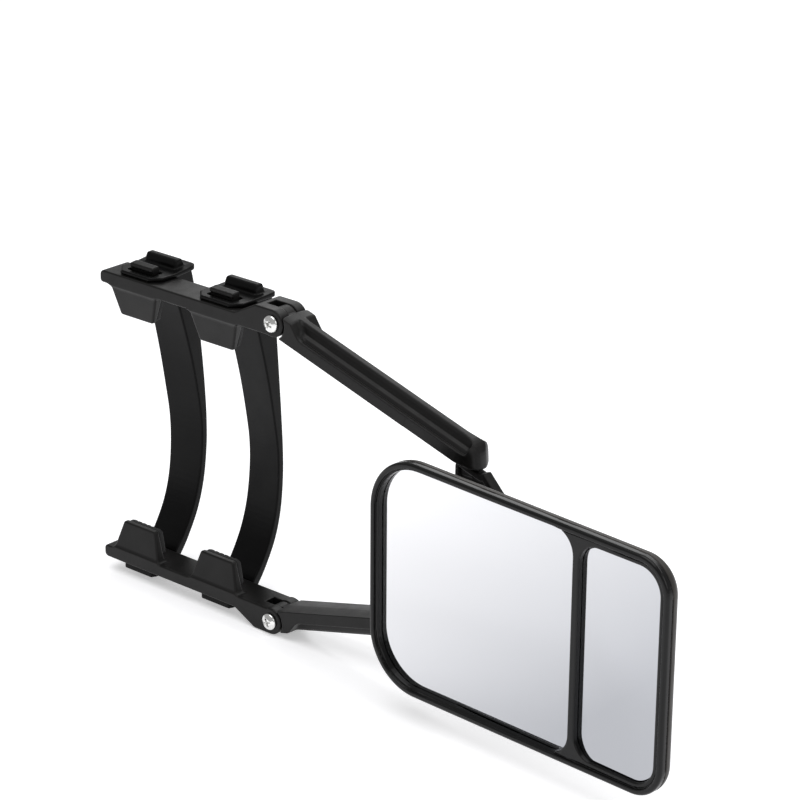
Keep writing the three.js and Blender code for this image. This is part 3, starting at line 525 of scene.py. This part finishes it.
def make_pads():
    tip = BAR_INNER_Z - CLAW_HEIGHT + 1
    root = BAR_INNER_Z - 2.8
    for name, side in (("upper", 1), ("lower", -1)):
        for place, cx in (("outer", CLAW_X[0]), ("inner", CLAW_X[1])):
            face = polygon(outline([
                (cx - CLAW_ROOT_HALF + 2.6, root, 2.4), (cx - CLAW_TIP_HALF + 0.6, tip, 2.8),
                (cx + CLAW_TIP_HALF - 0.6, tip, 2.8), (cx + CLAW_ROOT_HALF - 2.6, root, 2.4),
            ]))

            def field(x, y, z, face=face, side=side, cx=cx):
                shape = extrude(face(x, z * side), y, 9.4, 14.2, 1.4)
                ridge = 0.35 * np.cos((x - cx) * math.pi / 2.4)
                return shape + np.where(y > 12.5, np.maximum(ridge, 0), 0)

            low_z, high_z = sorted((side * (tip - 1), side * (root + 1)))
            obj = solid(f"{name}_{place}_pad_moulding", field, (cx - 22, 9, low_z), (cx + 22, 15, high_z),
                        PAD_CELL)
            stands_for(obj, f"{name}_grip_pad_{place}", f"{name}_clamp", PAD)


# ---- straps ----
def strap_profile(lift):
    plate = BAR_OUTER_Z + LIGHT_GAP
    rear = [(46.2, plate + 1 + lift), (49.4, 108), (52.6, 90), (54.8, 70), (57.2, 46), (59.6, 20), (61.6, -8),
            (61.8, -32), (59.2, -58), (53, -80), (43, -99), (34.5, -111), (27.4, -plate - 3)]
    front = [(28, -plate), (28, -108), (37, -96), (46.8, -78), (53.2, -57), (56, -32), (55.4, -8), (51, 18),
             (46, 42), (41, 62), (36, 80), (31.4, 96), (29.2, 106), (28.4, plate)]
    under_roll = [(30, plate + 2.6), (40, plate + 2.8 + lift * 0.6)]
    return [*smooth_curve(rear, 60), *smooth_curve(front, 60), *under_roll]


def plate_outline(cx, front_half, half, rear_y):
    return outline([
        (cx - front_half, 2.9, 1), (cx + front_half, 2.9, 1), (cx + half, 10.5, 2.4), (cx + half, rear_y, 4),
        (cx - half, rear_y, 4), (cx - half, 10.5, 2.4),
    ])


def strap_field(cx, lift):
    band = polygon(strap_profile(lift))
    plate = BAR_OUTER_Z + LIGHT_GAP
    upper_side = polygon(outline([
        (0, plate), (28, plate), (47.5, plate - 1 + lift), (47.5, plate + 3.2 + lift),
        (38, plate + 3 + lift * 0.5), (26, plate + 3), (0, plate + 3),
    ]))
    lower_side = polygon(outline([
        (0, -plate), (0, -plate - 5.2), (8, -plate - 5.2, 1.4), (9.8, -plate - 3), (29, -plate - 3, 1),
        (29, -plate),
    ]))
    upper_plan = polygon(plate_outline(cx, 14, 21.4, 46.4))
    lower_plan = polygon(plate_outline(cx, 14, 17, 29))
    roll = polygon(outline([
        (29.5, plate + 1), (29.5, plate + 6.4, 2), (31.4, plate + 10.4, 2.4), (37.4, plate + 10.4, 2.4),
        (39.4, plate + 6.4, 2), (39.4, plate + 1),
    ]))

    def field(x, y, z):
        shape = extrude(band(y, z), x, cx - STRAP_HALF, cx + STRAP_HALF, 1.0)
        upper = rounded(upper_side(y, z), upper_plan(x, y), 0.9)
        lower = rounded(lower_side(y, z), lower_plan(x, y), 0.9)
        shape = join(join(shape, upper, 2.4), lower, 2.0)
        shape = join(shape, extrude(roll(y, z), x, cx - STRAP_HALF, cx + STRAP_HALF, 1.6), 1.4)
        window = block(x, y, cx - 13, cx + 13, 8.2, 19.6, 1.6)
        shape = cut(shape, np.maximum(window, 90 - np.abs(z)), 0.8)
        bar = block(y, z, -5, 27.6, -plate, plate)
        return np.maximum(shape, -bar)

    return field


def strap_twist(cx, amount, centre_z, reach):
    """Turns the band about its own length, most at centre_z and not at all at its ends."""
    def warp(points):
        out = points.copy()
        fall = np.clip(1 - ((points[:, 2] - centre_z) / reach) ** 2, 0, 1) ** 2
        angle = amount * fall
        dx = points[:, 0] - cx
        out[:, 0] = cx + dx * np.cos(angle)
        out[:, 1] = points[:, 1] + dx * np.sin(angle)
        return out

    return warp


def make_straps():
    for place, cx, lift, twist in (("outer", CLAW_X[0], 2.6, 0.14), ("inner", CLAW_X[1], 0.6, -0.05)):
        warp = strap_twist(cx, twist, 10, 104)
        obj = solid(f"strap_{place}_moulding", strap_field(cx, lift), (cx - 22, 2, -124), (cx + 22, 63, 129),
                    STRAP_CELL, warp=warp)
        obj.data.materials.append(STRAP)
        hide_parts(f"strap_{place}")
        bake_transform(obj)


# ---- arms ----
def arm_field(side):
    """An arm in its own axes: s along it from the hinge, y across, h outwards. side mirrors it in h."""
    body = polygon(outline([
        (2, ARM_INNER_H), (2, ARM_OUTER_H), (ARM_LENGTH - NOSE_RAKE * ARM_OUTER_H, ARM_OUTER_H, 16),
        (ARM_LENGTH - NOSE_RAKE * ARM_INNER_H, ARM_INNER_H, 2),
    ]))
    plan = polygon(outline([
        (-20, 0), (ARM_LENGTH, 0, MID_Y - 0.02), (ARM_LENGTH, BAR_DEPTH, MID_Y - 0.02), (-20, BAR_DEPTH),
    ], 24))
    section = polygon([
        (-4, LEDGE_H), (3, LEDGE_H), (3.7, LEDGE_H - 0.9), (4.4, LEDGE_H - 1.2), (5, LEDGE_H - 0.1), (6.2, 2.2),
        (7.6, 3.0), (8.4, 3.4), (8.9, 5.4), (9.6, 7.4), (10.6, 8.8), (11.6, ARM_OUTER_H + 3),
        (-4, ARM_OUTER_H + 3),
    ])
    near_end = polygon(outline([
        (28.4, LEDGE_H - 2.4), (25.8, LEDGE_H + 0.2, 5), (14.8, ARM_OUTER_H, 4), (13.6, ARM_OUTER_H + 4),
        (ARM_LENGTH, ARM_OUTER_H + 4), (ARM_LENGTH, LEDGE_H - 2.4),
    ]))
    end = ARM_LENGTH - 7.8
    loop = polygon(outline([
        (5, -6), (ARM_LENGTH - 2, -6), (ARM_LENGTH - 2, -2), (end, 1, 3.5), (end, 8.4, 5), (end - 16, 14),
        (5, 14),
    ]))
    pocket = polygon(outline([
        (PIVOT_S - 10, ARM_INNER_H - 3), (PIVOT_S - 8.4, 6.6, 5), (PIVOT_S + 8, 6.6, 5),
        (PIVOT_S + 8.4, ARM_INNER_H - 3),
    ]))

    def field(s, y, h):
        h = h * side
        nose = np.clip((s - NOSE_START) / NOSE_SPAN, 0, 1) * np.clip((np.abs(y - MID_Y) - 3) / 4, 0, 1)
        shape = rounded(body(s, h), plan(s + NOSE_RAKE * h, y), 1.1 + 2.6 * nose)
        crease = ARM_INNER_H + 0.9 * np.abs(y - MID_Y) / MID_Y
        shape = overlap(shape, crease - h, 0.4)
        aside = (y - MID_Y) / MID_Y
        low = ARM_OUTER_H - 0.9 * aside ** 2
        rise = ARM_OUTER_H - LEDGE_H
        arch = (np.hypot(aside, np.maximum(h - LEDGE_H, 0) / rise) - 1) * rise
        blend = np.clip((s - CROWN_START) / CROWN_SPAN, 0, 1)
        shape = overlap(shape, (1 - blend) * (h - low) + blend * arch, 0.6 + 2.6 * nose)
        half_y = MID_Y - np.abs(y - MID_Y)
        channel = overlap(overlap(section(half_y, h), near_end(s, h), 2.5), loop(s, half_y), 2.5)
        shape = cut(shape, channel, 0.9)
        shape = cut(shape, cylinder(s, h, 0, 0, SHOULDER_R), 0.8)
        tongue = join(cylinder(s, h, 0, 0, TONGUE_R), block(s, h, 0, 14, -8.2, 8.2), 0)
        shape = join(shape, extrude(tongue, y, MID_Y - TONGUE_WIDTH / 2, MID_Y + TONGUE_WIDTH / 2, 0.5), 0.6)
        shape = cut(shape, cylinder(s, h, 0, 0, BORE_R), 0.4)
        half_pocket = EAR_POCKET_WIDTH / 2
        shape = cut(shape, extrude(pocket(s, h), y, MID_Y - half_pocket, MID_Y + half_pocket, 0.6), 0.6)
        shape = cut(shape, np.maximum(cylinder(s, h, PIVOT_S, PIVOT_H, BORE_R), BLIND_BORE_Y - y), 0.3)
        return cut(shape, np.maximum(cylinder(s, h, PIVOT_S, PIVOT_H, 5.7), PIVOT_SEAT_Y - y), 0.4)

    return field


def arm_place(side):
    angle = SLOPE[side] if side > 0 else -SLOPE[side]
    return Matrix.Translation((HINGE_X, 0, side * HINGE_Z)) @ Matrix.Rotation(angle, 4, "Y")


def make_arms():
    for name, side in (("upper", 1), ("lower", -1)):
        low_h, high_h = sorted((side * -10, side * 10.5))
        obj = solid(f"{name}_arm_moulding", arm_field(side), (-10, -0.5, low_h), (195, 27.5, high_h), ARM_CELL,
                    place=arm_place(side))
        stands_for(obj, f"{name}_arm", f"{name}_arm", PLASTIC)


# ---- fasteners ----
def screw_field(head_r, shaft_r, length):
    """Cross-recess pan-head screw: head towards -Y with its seat at y 0, shaft towards +Y."""
    dome = SCREW_HEAD_H * head_r / HINGE_HEAD_R
    pitch = 1.0
    profile = polygon(outline([
        (-head_r, 0.0, 0.3), (-head_r, -dome * 0.42, dome * 0.5), (-head_r * 0.45, -dome, dome * 0.9),
        (head_r * 0.45, -dome, dome * 0.9), (head_r, -dome * 0.42, dome * 0.5), (head_r, 0.0, 0.3),
    ]))

    def field(x, y, z):
        r = np.hypot(x, z)
        shape = profile(r, y)
        turn = np.arctan2(z, x)
        thread = shaft_r - 0.12 + 0.12 * np.cos(2 * math.pi * y / pitch - turn)
        shaft = np.maximum(np.maximum(r - thread, y - length), -y - 0.2)
        shape = join(shape, shaft, 0.3)
        depth = np.clip((y + dome) / dome, 0, 1)
        wing = head_r * 0.55 * (1 - 0.55 * depth)
        width = head_r * 0.12 * (1 - 0.35 * depth)
        cross = np.minimum(np.maximum(np.abs(x) - wing, np.abs(z) - width),
                           np.maximum(np.abs(z) - wing, np.abs(x) - width))
        hub = r - head_r * 0.24 * (1 - 0.5 * depth)
        recess = np.maximum(np.minimum(cross, hub), y + dome * 0.25)
        return cut(shape, recess, 0.15)

    return field


def nut_field(flats, height, bore_r):
    """Chamfered hexagon nut along +Y, standing on y 0."""
    face = polygon(hexagon(0, 0, flats))

    def field(x, y, z):
        r = np.hypot(x, z)
        side = np.abs(y - height / 2) - height / 2
        shape = rounded(face(x, z), side, 0.25)
        chamfer = (r - flats * 0.5 + 0.2 + (side + 0.05) * 1.7) * 0.5
        shape = overlap(shape, chamfer, 0.2)
        return cut(shape, r - bore_r, 0.5)

    return field


def fastener(name, field, low, high, step, spot, place, node, body, flip=False, spin=0.0):
    """A steel fastener at a spot of the axes that place gives. flip turns its head towards +Y."""
    turn = Matrix.Rotation(math.pi, 4, "Z") if flip else Matrix.Identity(4)
    matrix = place @ Matrix.Translation(spot) @ turn @ Matrix.Rotation(spin, 4, "Y")
    obj = solid(name, field, low, high, step, place=matrix)
    stands_for(obj, node, body, STEEL)


def cap_screw_spots():
    angles = [math.radians(degrees) for degrees in CAP_SCREW_ANGLES]
    return [(SOCKET.x + CAP_SCREW_CIRCLE * math.cos(angle), SOCKET.z + CAP_SCREW_CIRCLE * math.sin(angle))
            for angle in angles]


def make_fasteners():
    here = Matrix.Identity(4)
    long_screw = screw_field(HINGE_HEAD_R, SCREW_R, 27.2)
    end_length = PIVOT_SEAT_Y - BLIND_BORE_Y - 0.7
    end_screw = screw_field(PIVOT_HEAD_R, SCREW_R, end_length)
    nut = nut_field(HINGE_NUT_FLATS, 5.0, SCREW_R + 0.1)
    nut_box = ((-6, 0, -6), (6, 5, 6))
    for name, side in (("upper", 1), ("lower", -1)):
        fastener(f"{name}_hinge_screw_turned", long_screw, (-7, -4, -7), (7, 28, 7), SCREW_CELL,
                 (HINGE_X, -LIGHT_GAP, side * HINGE_Z), here, f"{name}_hinge_screw", f"{name}_clamp",
                 spin=0.4 * side)
        fastener(f"{name}_hinge_nut_turned", nut, *nut_box, SCREW_CELL,
                 (HINGE_X, NUT_SEAT_Y + LIGHT_GAP, side * HINGE_Z), here, f"{name}_hinge_nut", f"{name}_clamp")
        arm = arm_place(side)
        fastener(f"{name}_pivot_screw_turned", end_screw, (-6, -3.4, -6), (6, end_length + 0.5, 6),
                 SCREW_CELL, (PIVOT_S, PIVOT_SEAT_Y + LIGHT_GAP, side * PIVOT_H), arm, f"{name}_pivot_screw",
                 f"{name}_arm", flip=True, spin=0.7)
    fastener("stud_nut_turned", nut_field(13.0, 6.4, 4.15), (-8, 0, -8), (8, 6.4, 8), STUD_NUT_CELL,
             (BALL.x, 20.8, BALL.z), here, "stud_nut", "stud")
    cap_screw = screw_field(2.6, 1.3, 9.0)
    for i, (x, z) in enumerate(cap_screw_spots()):
        spot = (x, CAP_FRONT + CAP_HEIGHT - 1.9, z)
        fastener(f"cap_screw_{i + 1}_turned", cap_screw, (-3, -2, -3), (3, 9, 3), SMALL_SCREW_CELL, spot, HEAD,
                 f"cap_screw_{i + 1}", "head", flip=True, spin=0.5 * i)
    housing_screw = screw_field(2.9, 1.4, 5.2)
    for i, (x, z) in enumerate(HOUSING_SCREWS):
        fastener(f"housing_screw_{i + 1}_turned", housing_screw, (-3.2, -2, -3.2), (3.2, 5.6, 3.2),
                 SMALL_SCREW_CELL, (x, HOUSING_DEPTH - 2.3, z), HEAD, f"housing_screw_{i + 1}", "head",
                 flip=True, spin=0.6 * i)


# ---- yoke and ball joint ----
def arm_point(side, s, h):
    """Where the arm's point (s, h) lies at rest, as (x, z)."""
    slope = SLOPE[side]
    x = HINGE_X + s * math.cos(slope) + h * math.sin(slope)
    z = HINGE_Z - s * math.sin(slope) + h * math.cos(slope)
    return x, side * z


def yoke_field():
    upper = arm_point(1, PIVOT_S, PIVOT_H)
    lower = arm_point(-1, PIVOT_S, PIVOT_H)
    left = upper[0] - 10
    top, bottom = 48.8, -53.6
    plate = polygon(outline([
        (left, 56.6, 4), (281, 50), (284.4, 51.2), (296, 39.2, 4), (BALL.x + 19, BALL.z + 20, 12),
        (BALL.x + 19, BALL.z - 20, 12), (295, -47.5, 4), (288, bottom, 2), (left, bottom, 5),
    ]))
    opening = polygon(outline([
        (left + 11, 33, 4), (left + 26, 30, 4), (BALL.x - 20, BALL.z + 11, 5), (BALL.x - 20, BALL.z - 11, 5),
        (left + 26, -38, 4), (left + 11, -40, 4),
    ]))
    ears = []
    for (px, pz), edge in ((upper, top), (lower, bottom)):
        inside = edge - math.copysign(3, edge)
        neck = polygon([(px - 6.4, pz), (px + 4.6, pz), (px + 4.6, inside), (px - 7, inside)])
        ears.append((px, pz, neck))

    def field(x, y, z):
        flat = cut(plate(x, z), opening(x, z))
        side = np.abs(y - MID_Y)
        rim = np.maximum(flat, -(flat + 4.2))
        shape = join(rounded(flat, side - 2.6, 0.6), rounded(rim, side - TONGUE_WIDTH / 2, 0.9), 1.6)
        for px, pz, neck in ears:
            ear = join(cylinder(x, z, px, pz, EAR_R), neck(x, z), 1)
            shape = join(shape, rounded(ear, side - EAR_WIDTH / 2, 0.6), 0.8)
        hub = rounded(cylinder(x, z, BALL.x, BALL.z, 13), np.abs(y - 14) - 6.5, 1.2)
        shape = join(shape, hub, 2.2)
        for px, pz, _ in ears:
            shape = cut(shape, cylinder(x, z, px, pz, SCREW_R + 0.75), 0.4)
        return cut(shape, cylinder(x, z, BALL.x, BALL.z, 4.35), 0.5)

    return field


def spun(points):
    """Points (radius, y) turned about the Y axis through the ball's centre."""
    profile = polygon(points)

    def field(x, y, z):
        return profile(np.hypot(x - BALL.x, z - BALL.z), y - BALL.y)

    return field


def arc(radius, start, stop, steps=16):
    angles = [math.radians(start + (stop - start) * k / steps) for k in range(steps + 1)]
    return [(radius * math.cos(a), radius * math.sin(a)) for a in angles]


def make_joint():
    """Makes the yoke, the ball stud and the liner round the ball."""
    yoke = solid("head_yoke_moulding", yoke_field(), (258, 6.5, -77), (350, 21.5, 72), YOKE_CELL)
    stands_for(yoke, "head_yoke", "yoke", PLASTIC)
    neck = 4.6
    start = math.degrees(math.acos(neck / BALL_R))
    stud = [(-BALL_R, 0), *arc(BALL_R, -90, start), (neck, 8.3), (5.4, 9.0), (8, 9.4), (8, 11.2), (4.1, 11.3),
            (4.1, 32.2), (3.3, 33.8), (-BALL_R, 33.8)]
    obj = solid("ball_stud_turned", spun(stud), (BALL.x - 10, -14, BALL.z - 10),
                (BALL.x + 10, 30.5, BALL.z + 10), BALL_CELL)
    stands_for(obj, "ball_stud", "stud", STEEL)
    liner = [*arc(LINER_IN, -62, LINER_TOP), *arc(LINER_OUT, LINER_TOP, -62)]
    obj = solid("ball_liner_moulding", spun(liner), (BALL.x - 12, -16, BALL.z - 12),
                (BALL.x + 12, 4.5, BALL.z + 12), BALL_CELL)
    stands_for(obj, "ball_liner", "liner", JOINT_PLASTIC)


# ---- mirror head ----
HEAD = (Matrix.Translation(HEAD_CENTRE) @ Matrix.Rotation(HEAD_YAW, 4, "Z")
        @ Matrix.Rotation(HEAD_TILT, 4, "X") @ Matrix.Rotation(HEAD_ROLL, 4, "Y"))
SOCKET = HEAD.inverted() @ BALL
CAP_FRONT = SOCKET.y + 1.2
BASE_FRONT = HOUSING_DEPTH + LIGHT_GAP
HOUSING_SCREWS = ((-94, 50), (-94, -50), (100, 54), (100, -54))
HEAD_OUTLINE = outline([
    (-HALF_W, -HALF_H_IN, R_IN), (HALF_W, -HALF_H_OUT, R_OUT), (HALF_W, HALF_H_OUT, R_OUT),
    (-HALF_W, HALF_H_IN, R_IN),
], 20)


def glass_outline(glass, steps=14):
    near, far = glass["half_left"], glass["half_right"]
    return outline([
        (glass["left"], -near, glass["r_left"]), (glass["right"], -far, glass["r_right"]),
        (glass["right"], far, glass["r_right"]), (glass["left"], near, glass["r_left"]),
    ], steps)


def bezel_field():
    """The front frame: a raised rim, a sunk face and an opening with a ring behind it for each glass."""
    rim = polygon(HEAD_OUTLINE)
    panes = [(polygon(glass_outline(glass)), glass["front"], glass["draft"])
             for glass in (MAIN_GLASS, WIDE_GLASS)]
    lap = GLASS_LAP + LIGHT_GAP

    def field(x, y, z):
        flat = rim(x, z)
        plate = rounded(flat, y - BEZEL_DEPTH, 0.35)
        shape = rounded(plate, -y, 2.1)
        sunk = flat + RIM_WIDTH
        shape = cut(shape, np.maximum(sunk, y - RIM_RISE), 0.9)
        groove = np.hypot(sunk + 0.4, y - RIM_RISE) - 0.5
        shape = cut(shape, groove, 0.3)
        spaces = [(pane(x, z), front, draft) for pane, front, draft in panes]
        for space, front, draft in spaces:
            ring = rounded(space - lap - RING_WALL, np.maximum(3.7 - y, y - front - GLASS_THICK), 0.3)
            shape = join(shape, ring, 0.2)
        for space, front, draft in spaces:
            lean = np.clip(1 - y / front, 0, 1.3) * draft
            shape = cut(shape, space - lean, 1.0)
            shape = cut(shape, np.maximum(space - lap, front - LIGHT_GAP - y))
        return shape

    return field


def housing_field():
    """The back shell: its outside is a tray whose sides sweep in to a nearly flat back."""
    rim = polygon(HEAD_OUTLINE)
    seam = BEZEL_DEPTH + LIGHT_GAP

    def shell(x, y, z, flat, inset):
        inward = np.maximum(flat + inset + BACK_PULL, 0) / BACK_PULL
        dome = 0.5 * np.clip(1 - (x / 90) ** 2 - (z / 45) ** 2, 0, 1) - 0.5
        rise = HOUSING_DEPTH - HOUSING_SIDE - inset
        back = np.maximum(y - dome - HOUSING_SIDE, 0) / rise
        curve = (np.sqrt(inward ** 2 + back ** 2) - 1) * rise
        return np.maximum(curve, flat + inset)

    def field(x, y, z):
        flat = rim(x, z)
        outer = rounded(shell(x, y, z, flat, 0.0), seam - y, 0.5)
        shape = cut(outer, shell(x, y, z, flat, HOUSING_WALL), 0.3)
        for sx, sz in HOUSING_SCREWS:
            hole = cylinder(x, z, sx, sz, 3.4)
            collar = rounded(cylinder(x, z, sx, sz, 5.4), np.abs(y - 19.4) - 2.2, 0.5)
            shape = join(shape, collar, 1.2)
            shape = cut(shape, np.maximum(hole, HOUSING_DEPTH - 2.6 - y), 0.5)
            shape = cut(shape, cylinder(x, z, sx, sz, 1.6))
        return shape

    return field


def base_field():
    """The ball's cup on the flat back: a flange, then a wall with shallow ribs."""
    top = CAP_FRONT - LIGHT_GAP
    shift = SOCKET.y
    screws = cap_screw_spots()
    profile = polygon([
        (-SOCKET_R, BASE_FRONT - shift), (22, BASE_FRONT - shift), (22, BASE_FRONT + 2.2 - shift),
        (20.2, BASE_FRONT + 2.8 - shift), (18.7, BASE_FRONT + 4.6 - shift), (18, top - shift),
        (SOCKET_R, top - shift), *arc(SOCKET_R, 0, -90, 20), (-SOCKET_R, -SOCKET_R),
    ])

    def field(x, y, z):
        r = np.hypot(x - SOCKET.x, z - SOCKET.z)
        turn = np.arctan2(z - SOCKET.z, x - SOCKET.x)
        rib = 0.3 * np.clip(np.cos(turn * 12), 0, 1) * (y > BASE_FRONT + 5) * (r > 16)
        shape = profile(r, y - shift) + rib
        for cx, cz in screws:
            shape = cut(shape, np.maximum(cylinder(x, z, cx, cz, 1.5), 30 - y))
        return shape

    return field


def cap_field():
    """The screwed ring that closes the cup over the ball, knurled outside."""
    back = CAP_FRONT + CAP_HEIGHT
    screws = cap_screw_spots()
    first = math.degrees(math.asin((CAP_FRONT - SOCKET.y) / SOCKET_R))
    inside = arc(SOCKET_R, first, SOCKET_MOUTH, 8)
    lip = inside[-1]
    shift = SOCKET.y
    profile = polygon([
        *inside, (lip[0] + 0.8, back - shift), (15.0, back - shift), (16.2, back - shift - 0.5),
        (18.0, CAP_FRONT + 2.6 - shift), (18.0, CAP_FRONT + 0.3 - shift), (17.7, CAP_FRONT - shift),
    ])

    def field(x, y, z):
        r = np.hypot(x - SOCKET.x, z - SOCKET.z)
        turn = np.arctan2(z - SOCKET.z, x - SOCKET.x)
        knurl = 0.25 * np.clip(np.cos(turn * 30), 0, 1) * (r > 16.5)
        shape = profile(r, y - shift) + knurl
        for cx, cz in screws:
            shape = cut(shape, np.maximum(cylinder(x, z, cx, cz, 3.1), back - 2.2 - y), 0.4)
            shape = cut(shape, cylinder(x, z, cx, cz, 1.7))
        return shape

    return field


def glass_pane(name, glass, bulge, node):
    """A pane of rings shrinking towards its middle, its front bulging by bulge across its width."""
    edge = np.array(glass_outline(glass, 24))
    middle_u = (glass["left"] + glass["right"]) / 2
    half = (glass["right"] - glass["left"]) / 2
    count = len(edge)
    rings = []
    shares = [1.0, 0.996] + [1 - k / 14 for k in range(1, 14)]

    def ring(share, y_of):
        pts = edge.copy()
        pts[:, 0] = middle_u + (edge[:, 0] - middle_u) * share
        pts[:, 1] = edge[:, 1] * share
        return [(u, y_of(u), v) for u, v in pts]

    front = glass["front"]

    def bulged(u):
        return front - bulge * max(0.0, 1 - ((u - middle_u) / half) ** 2)

    grow = 1 + (GLASS_LAP - 0.1) / half
    rings.append(ring(grow, lambda u: front + GLASS_THICK))
    rings.append(ring(grow, lambda u: front))
    rings.append(ring(1.0, lambda u: front))
    rings += [ring(share * 0.995, bulged) for share in shares]
    vertices = [p for r in rings for p in r]
    faces = []
    for i in range(len(rings) - 1):
        for k in range(count):
            a, b = i * count + k, i * count + (k + 1) % count
            faces.append((a, b, b + count, a + count))
    faces.append(tuple(range(count))[::-1])
    last = (len(rings) - 1) * count
    faces.append(tuple(last + k for k in range(count)))
    mesh = bpy.data.meshes.new(name)
    mesh.from_pydata([tuple(HEAD @ Vector(p) * MM) for p in vertices], [], faces)
    mesh.validate()
    mesh.update()
    obj = placed(name, mesh)
    for face in mesh.polygons:
        face.use_smooth = bulge > 0 and len(face.vertices) == 4 and face.index >= 3 * count
    stands_for(obj, node, "head", GLASS)


def make_head():
    bezel = solid("front_bezel_moulding", bezel_field(), (-132, -0.5, -88), (132, 11.6, 88), BEZEL_CELL,
                  place=HEAD)
    stands_for(bezel, "front_bezel", "head", HEAD_PLASTIC)
    shell = solid("rear_housing_moulding", housing_field(), (-132, 5, -88), (132, 24, 88), HOUSING_CELL,
                  place=HEAD)
    stands_for(shell, "rear_housing", "head", SHELL_PLASTIC_PAINTED_SHEEN)
    reach = 23
    base = solid("socket_base_moulding", base_field(), (SOCKET.x - reach, HOUSING_DEPTH, SOCKET.z - reach),
                 (SOCKET.x + reach, CAP_FRONT, SOCKET.z + reach), BASE_CELL, place=HEAD)
    stands_for(base, "socket_base", "head", PLASTIC)
    cap = solid("socket_cap_moulding", cap_field(), (SOCKET.x - 19, CAP_FRONT - 0.5, SOCKET.z - 19),
                (SOCKET.x + 19, CAP_FRONT + 6, SOCKET.z + 19), CAP_CELL, place=HEAD)
    stands_for(cap, "socket_cap", "head", JOINT_PLASTIC)
    glass_pane("main_glass_pane", MAIN_GLASS, 0.0, "main_mirror_glass")
    glass_pane("wide_angle_glass_pane", WIDE_GLASS, WIDE_BULGE, "wide_angle_glass")
    for node in ("main_glass_backing", "wide_glass_backing"):
        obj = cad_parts[node]
        for slot in obj.material_slots:
            slot.material = FOAM


# ---- stage, light and camera ----
def make_stage():
    floor_z = cad_box[0][2] - 0.0005
    mesh = bpy.data.meshes.new("floor")
    reach = 6.0
    mesh.from_pydata([(-reach, -reach, floor_z), (reach, -reach, floor_z), (reach, reach, floor_z),
                      (-reach, reach, floor_z)], [], [(0, 1, 2, 3)])
    floor = placed("floor", mesh)
    material, shader, links = new_material("floor_white")
    place = material.node_tree.nodes.new("ShaderNodeTexCoord")
    noise = node_of(material, "ShaderNodeTexNoise", Scale=2.0)
    links.new(place.outputs["Object"], noise.inputs["Vector"])
    tone = ramp(material, noise.outputs["Fac"], grey(0.93), grey(0.95))
    links.new(tone.outputs["Color"], shader.inputs["Base Color"])
    shader.inputs["Roughness"].default_value = 0.9
    shader.inputs["Emission Color"].default_value = (1, 1, 1, 1)
    shader.inputs["Emission Strength"].default_value = 0.4
    floor.data.materials.append(material)


def area_light(name, place, target, size, power, size_y=None):
    data = bpy.data.lights.new(name, "AREA")
    data.energy = power
    data.size = size
    if size_y is not None:
        data.shape = "RECTANGLE"
        data.size_y = size_y
    lamp = placed(name, data)
    lamp.location = place
    lamp.rotation_euler = (Vector(target) - Vector(place)).to_track_quat("-Z", "Y").to_euler()


def make_light():
    world = bpy.data.worlds.new("studio")
    world.use_nodes = True
    world.node_tree.nodes["Background"].inputs["Color"].default_value = (1, 1, 1, 1)
    world.node_tree.nodes["Background"].inputs["Strength"].default_value = 0.42
    bpy.context.scene.world = world
    centre = (0.2, 0, 0)
    area_light("key", (0.1, -0.5, 1.9), centre, 1.6, 17)
    area_light("fill", (1.9, -0.3, 0.9), centre, 1.0, 6)
    area_light("strip", (0.7, 1.3, 1.7), centre, 2.2, 9, size_y=0.25)
    area_light("back", (-0.8, 1.6, 1.2), centre, 1.2, 8)


def make_camera():
    azimuth, elevation, roll = math.radians(39.55), math.radians(21.45), math.radians(1.32)
    right = Vector((math.cos(azimuth), math.sin(azimuth), 0))
    ahead = Vector((-math.sin(azimuth) * math.cos(elevation), math.cos(azimuth) * math.cos(elevation),
                    -math.sin(elevation)))
    up = right.cross(ahead)
    turned_right = right * math.cos(roll) + up * math.sin(roll)
    turned_up = -right * math.sin(roll) + up * math.cos(roll)
    camera = placed("camera", bpy.data.cameras.new("camera"))
    rows = Matrix((turned_right, turned_up, -ahead)).transposed().to_4x4()
    camera.matrix_world = Matrix.Translation((1.37874, -1.40644, 0.80708)) @ rows
    camera.data.lens = 129.19
    camera.data.sensor_width = 36
    camera.data.clip_end = 50
    bpy.context.scene.camera = camera


make_camera()
make_bars()
make_pads()
make_straps()
make_arms()
make_fasteners()
make_joint()
make_head()
make_stage()
make_light()
bpy.context.scene.view_settings.view_transform = "Standard"
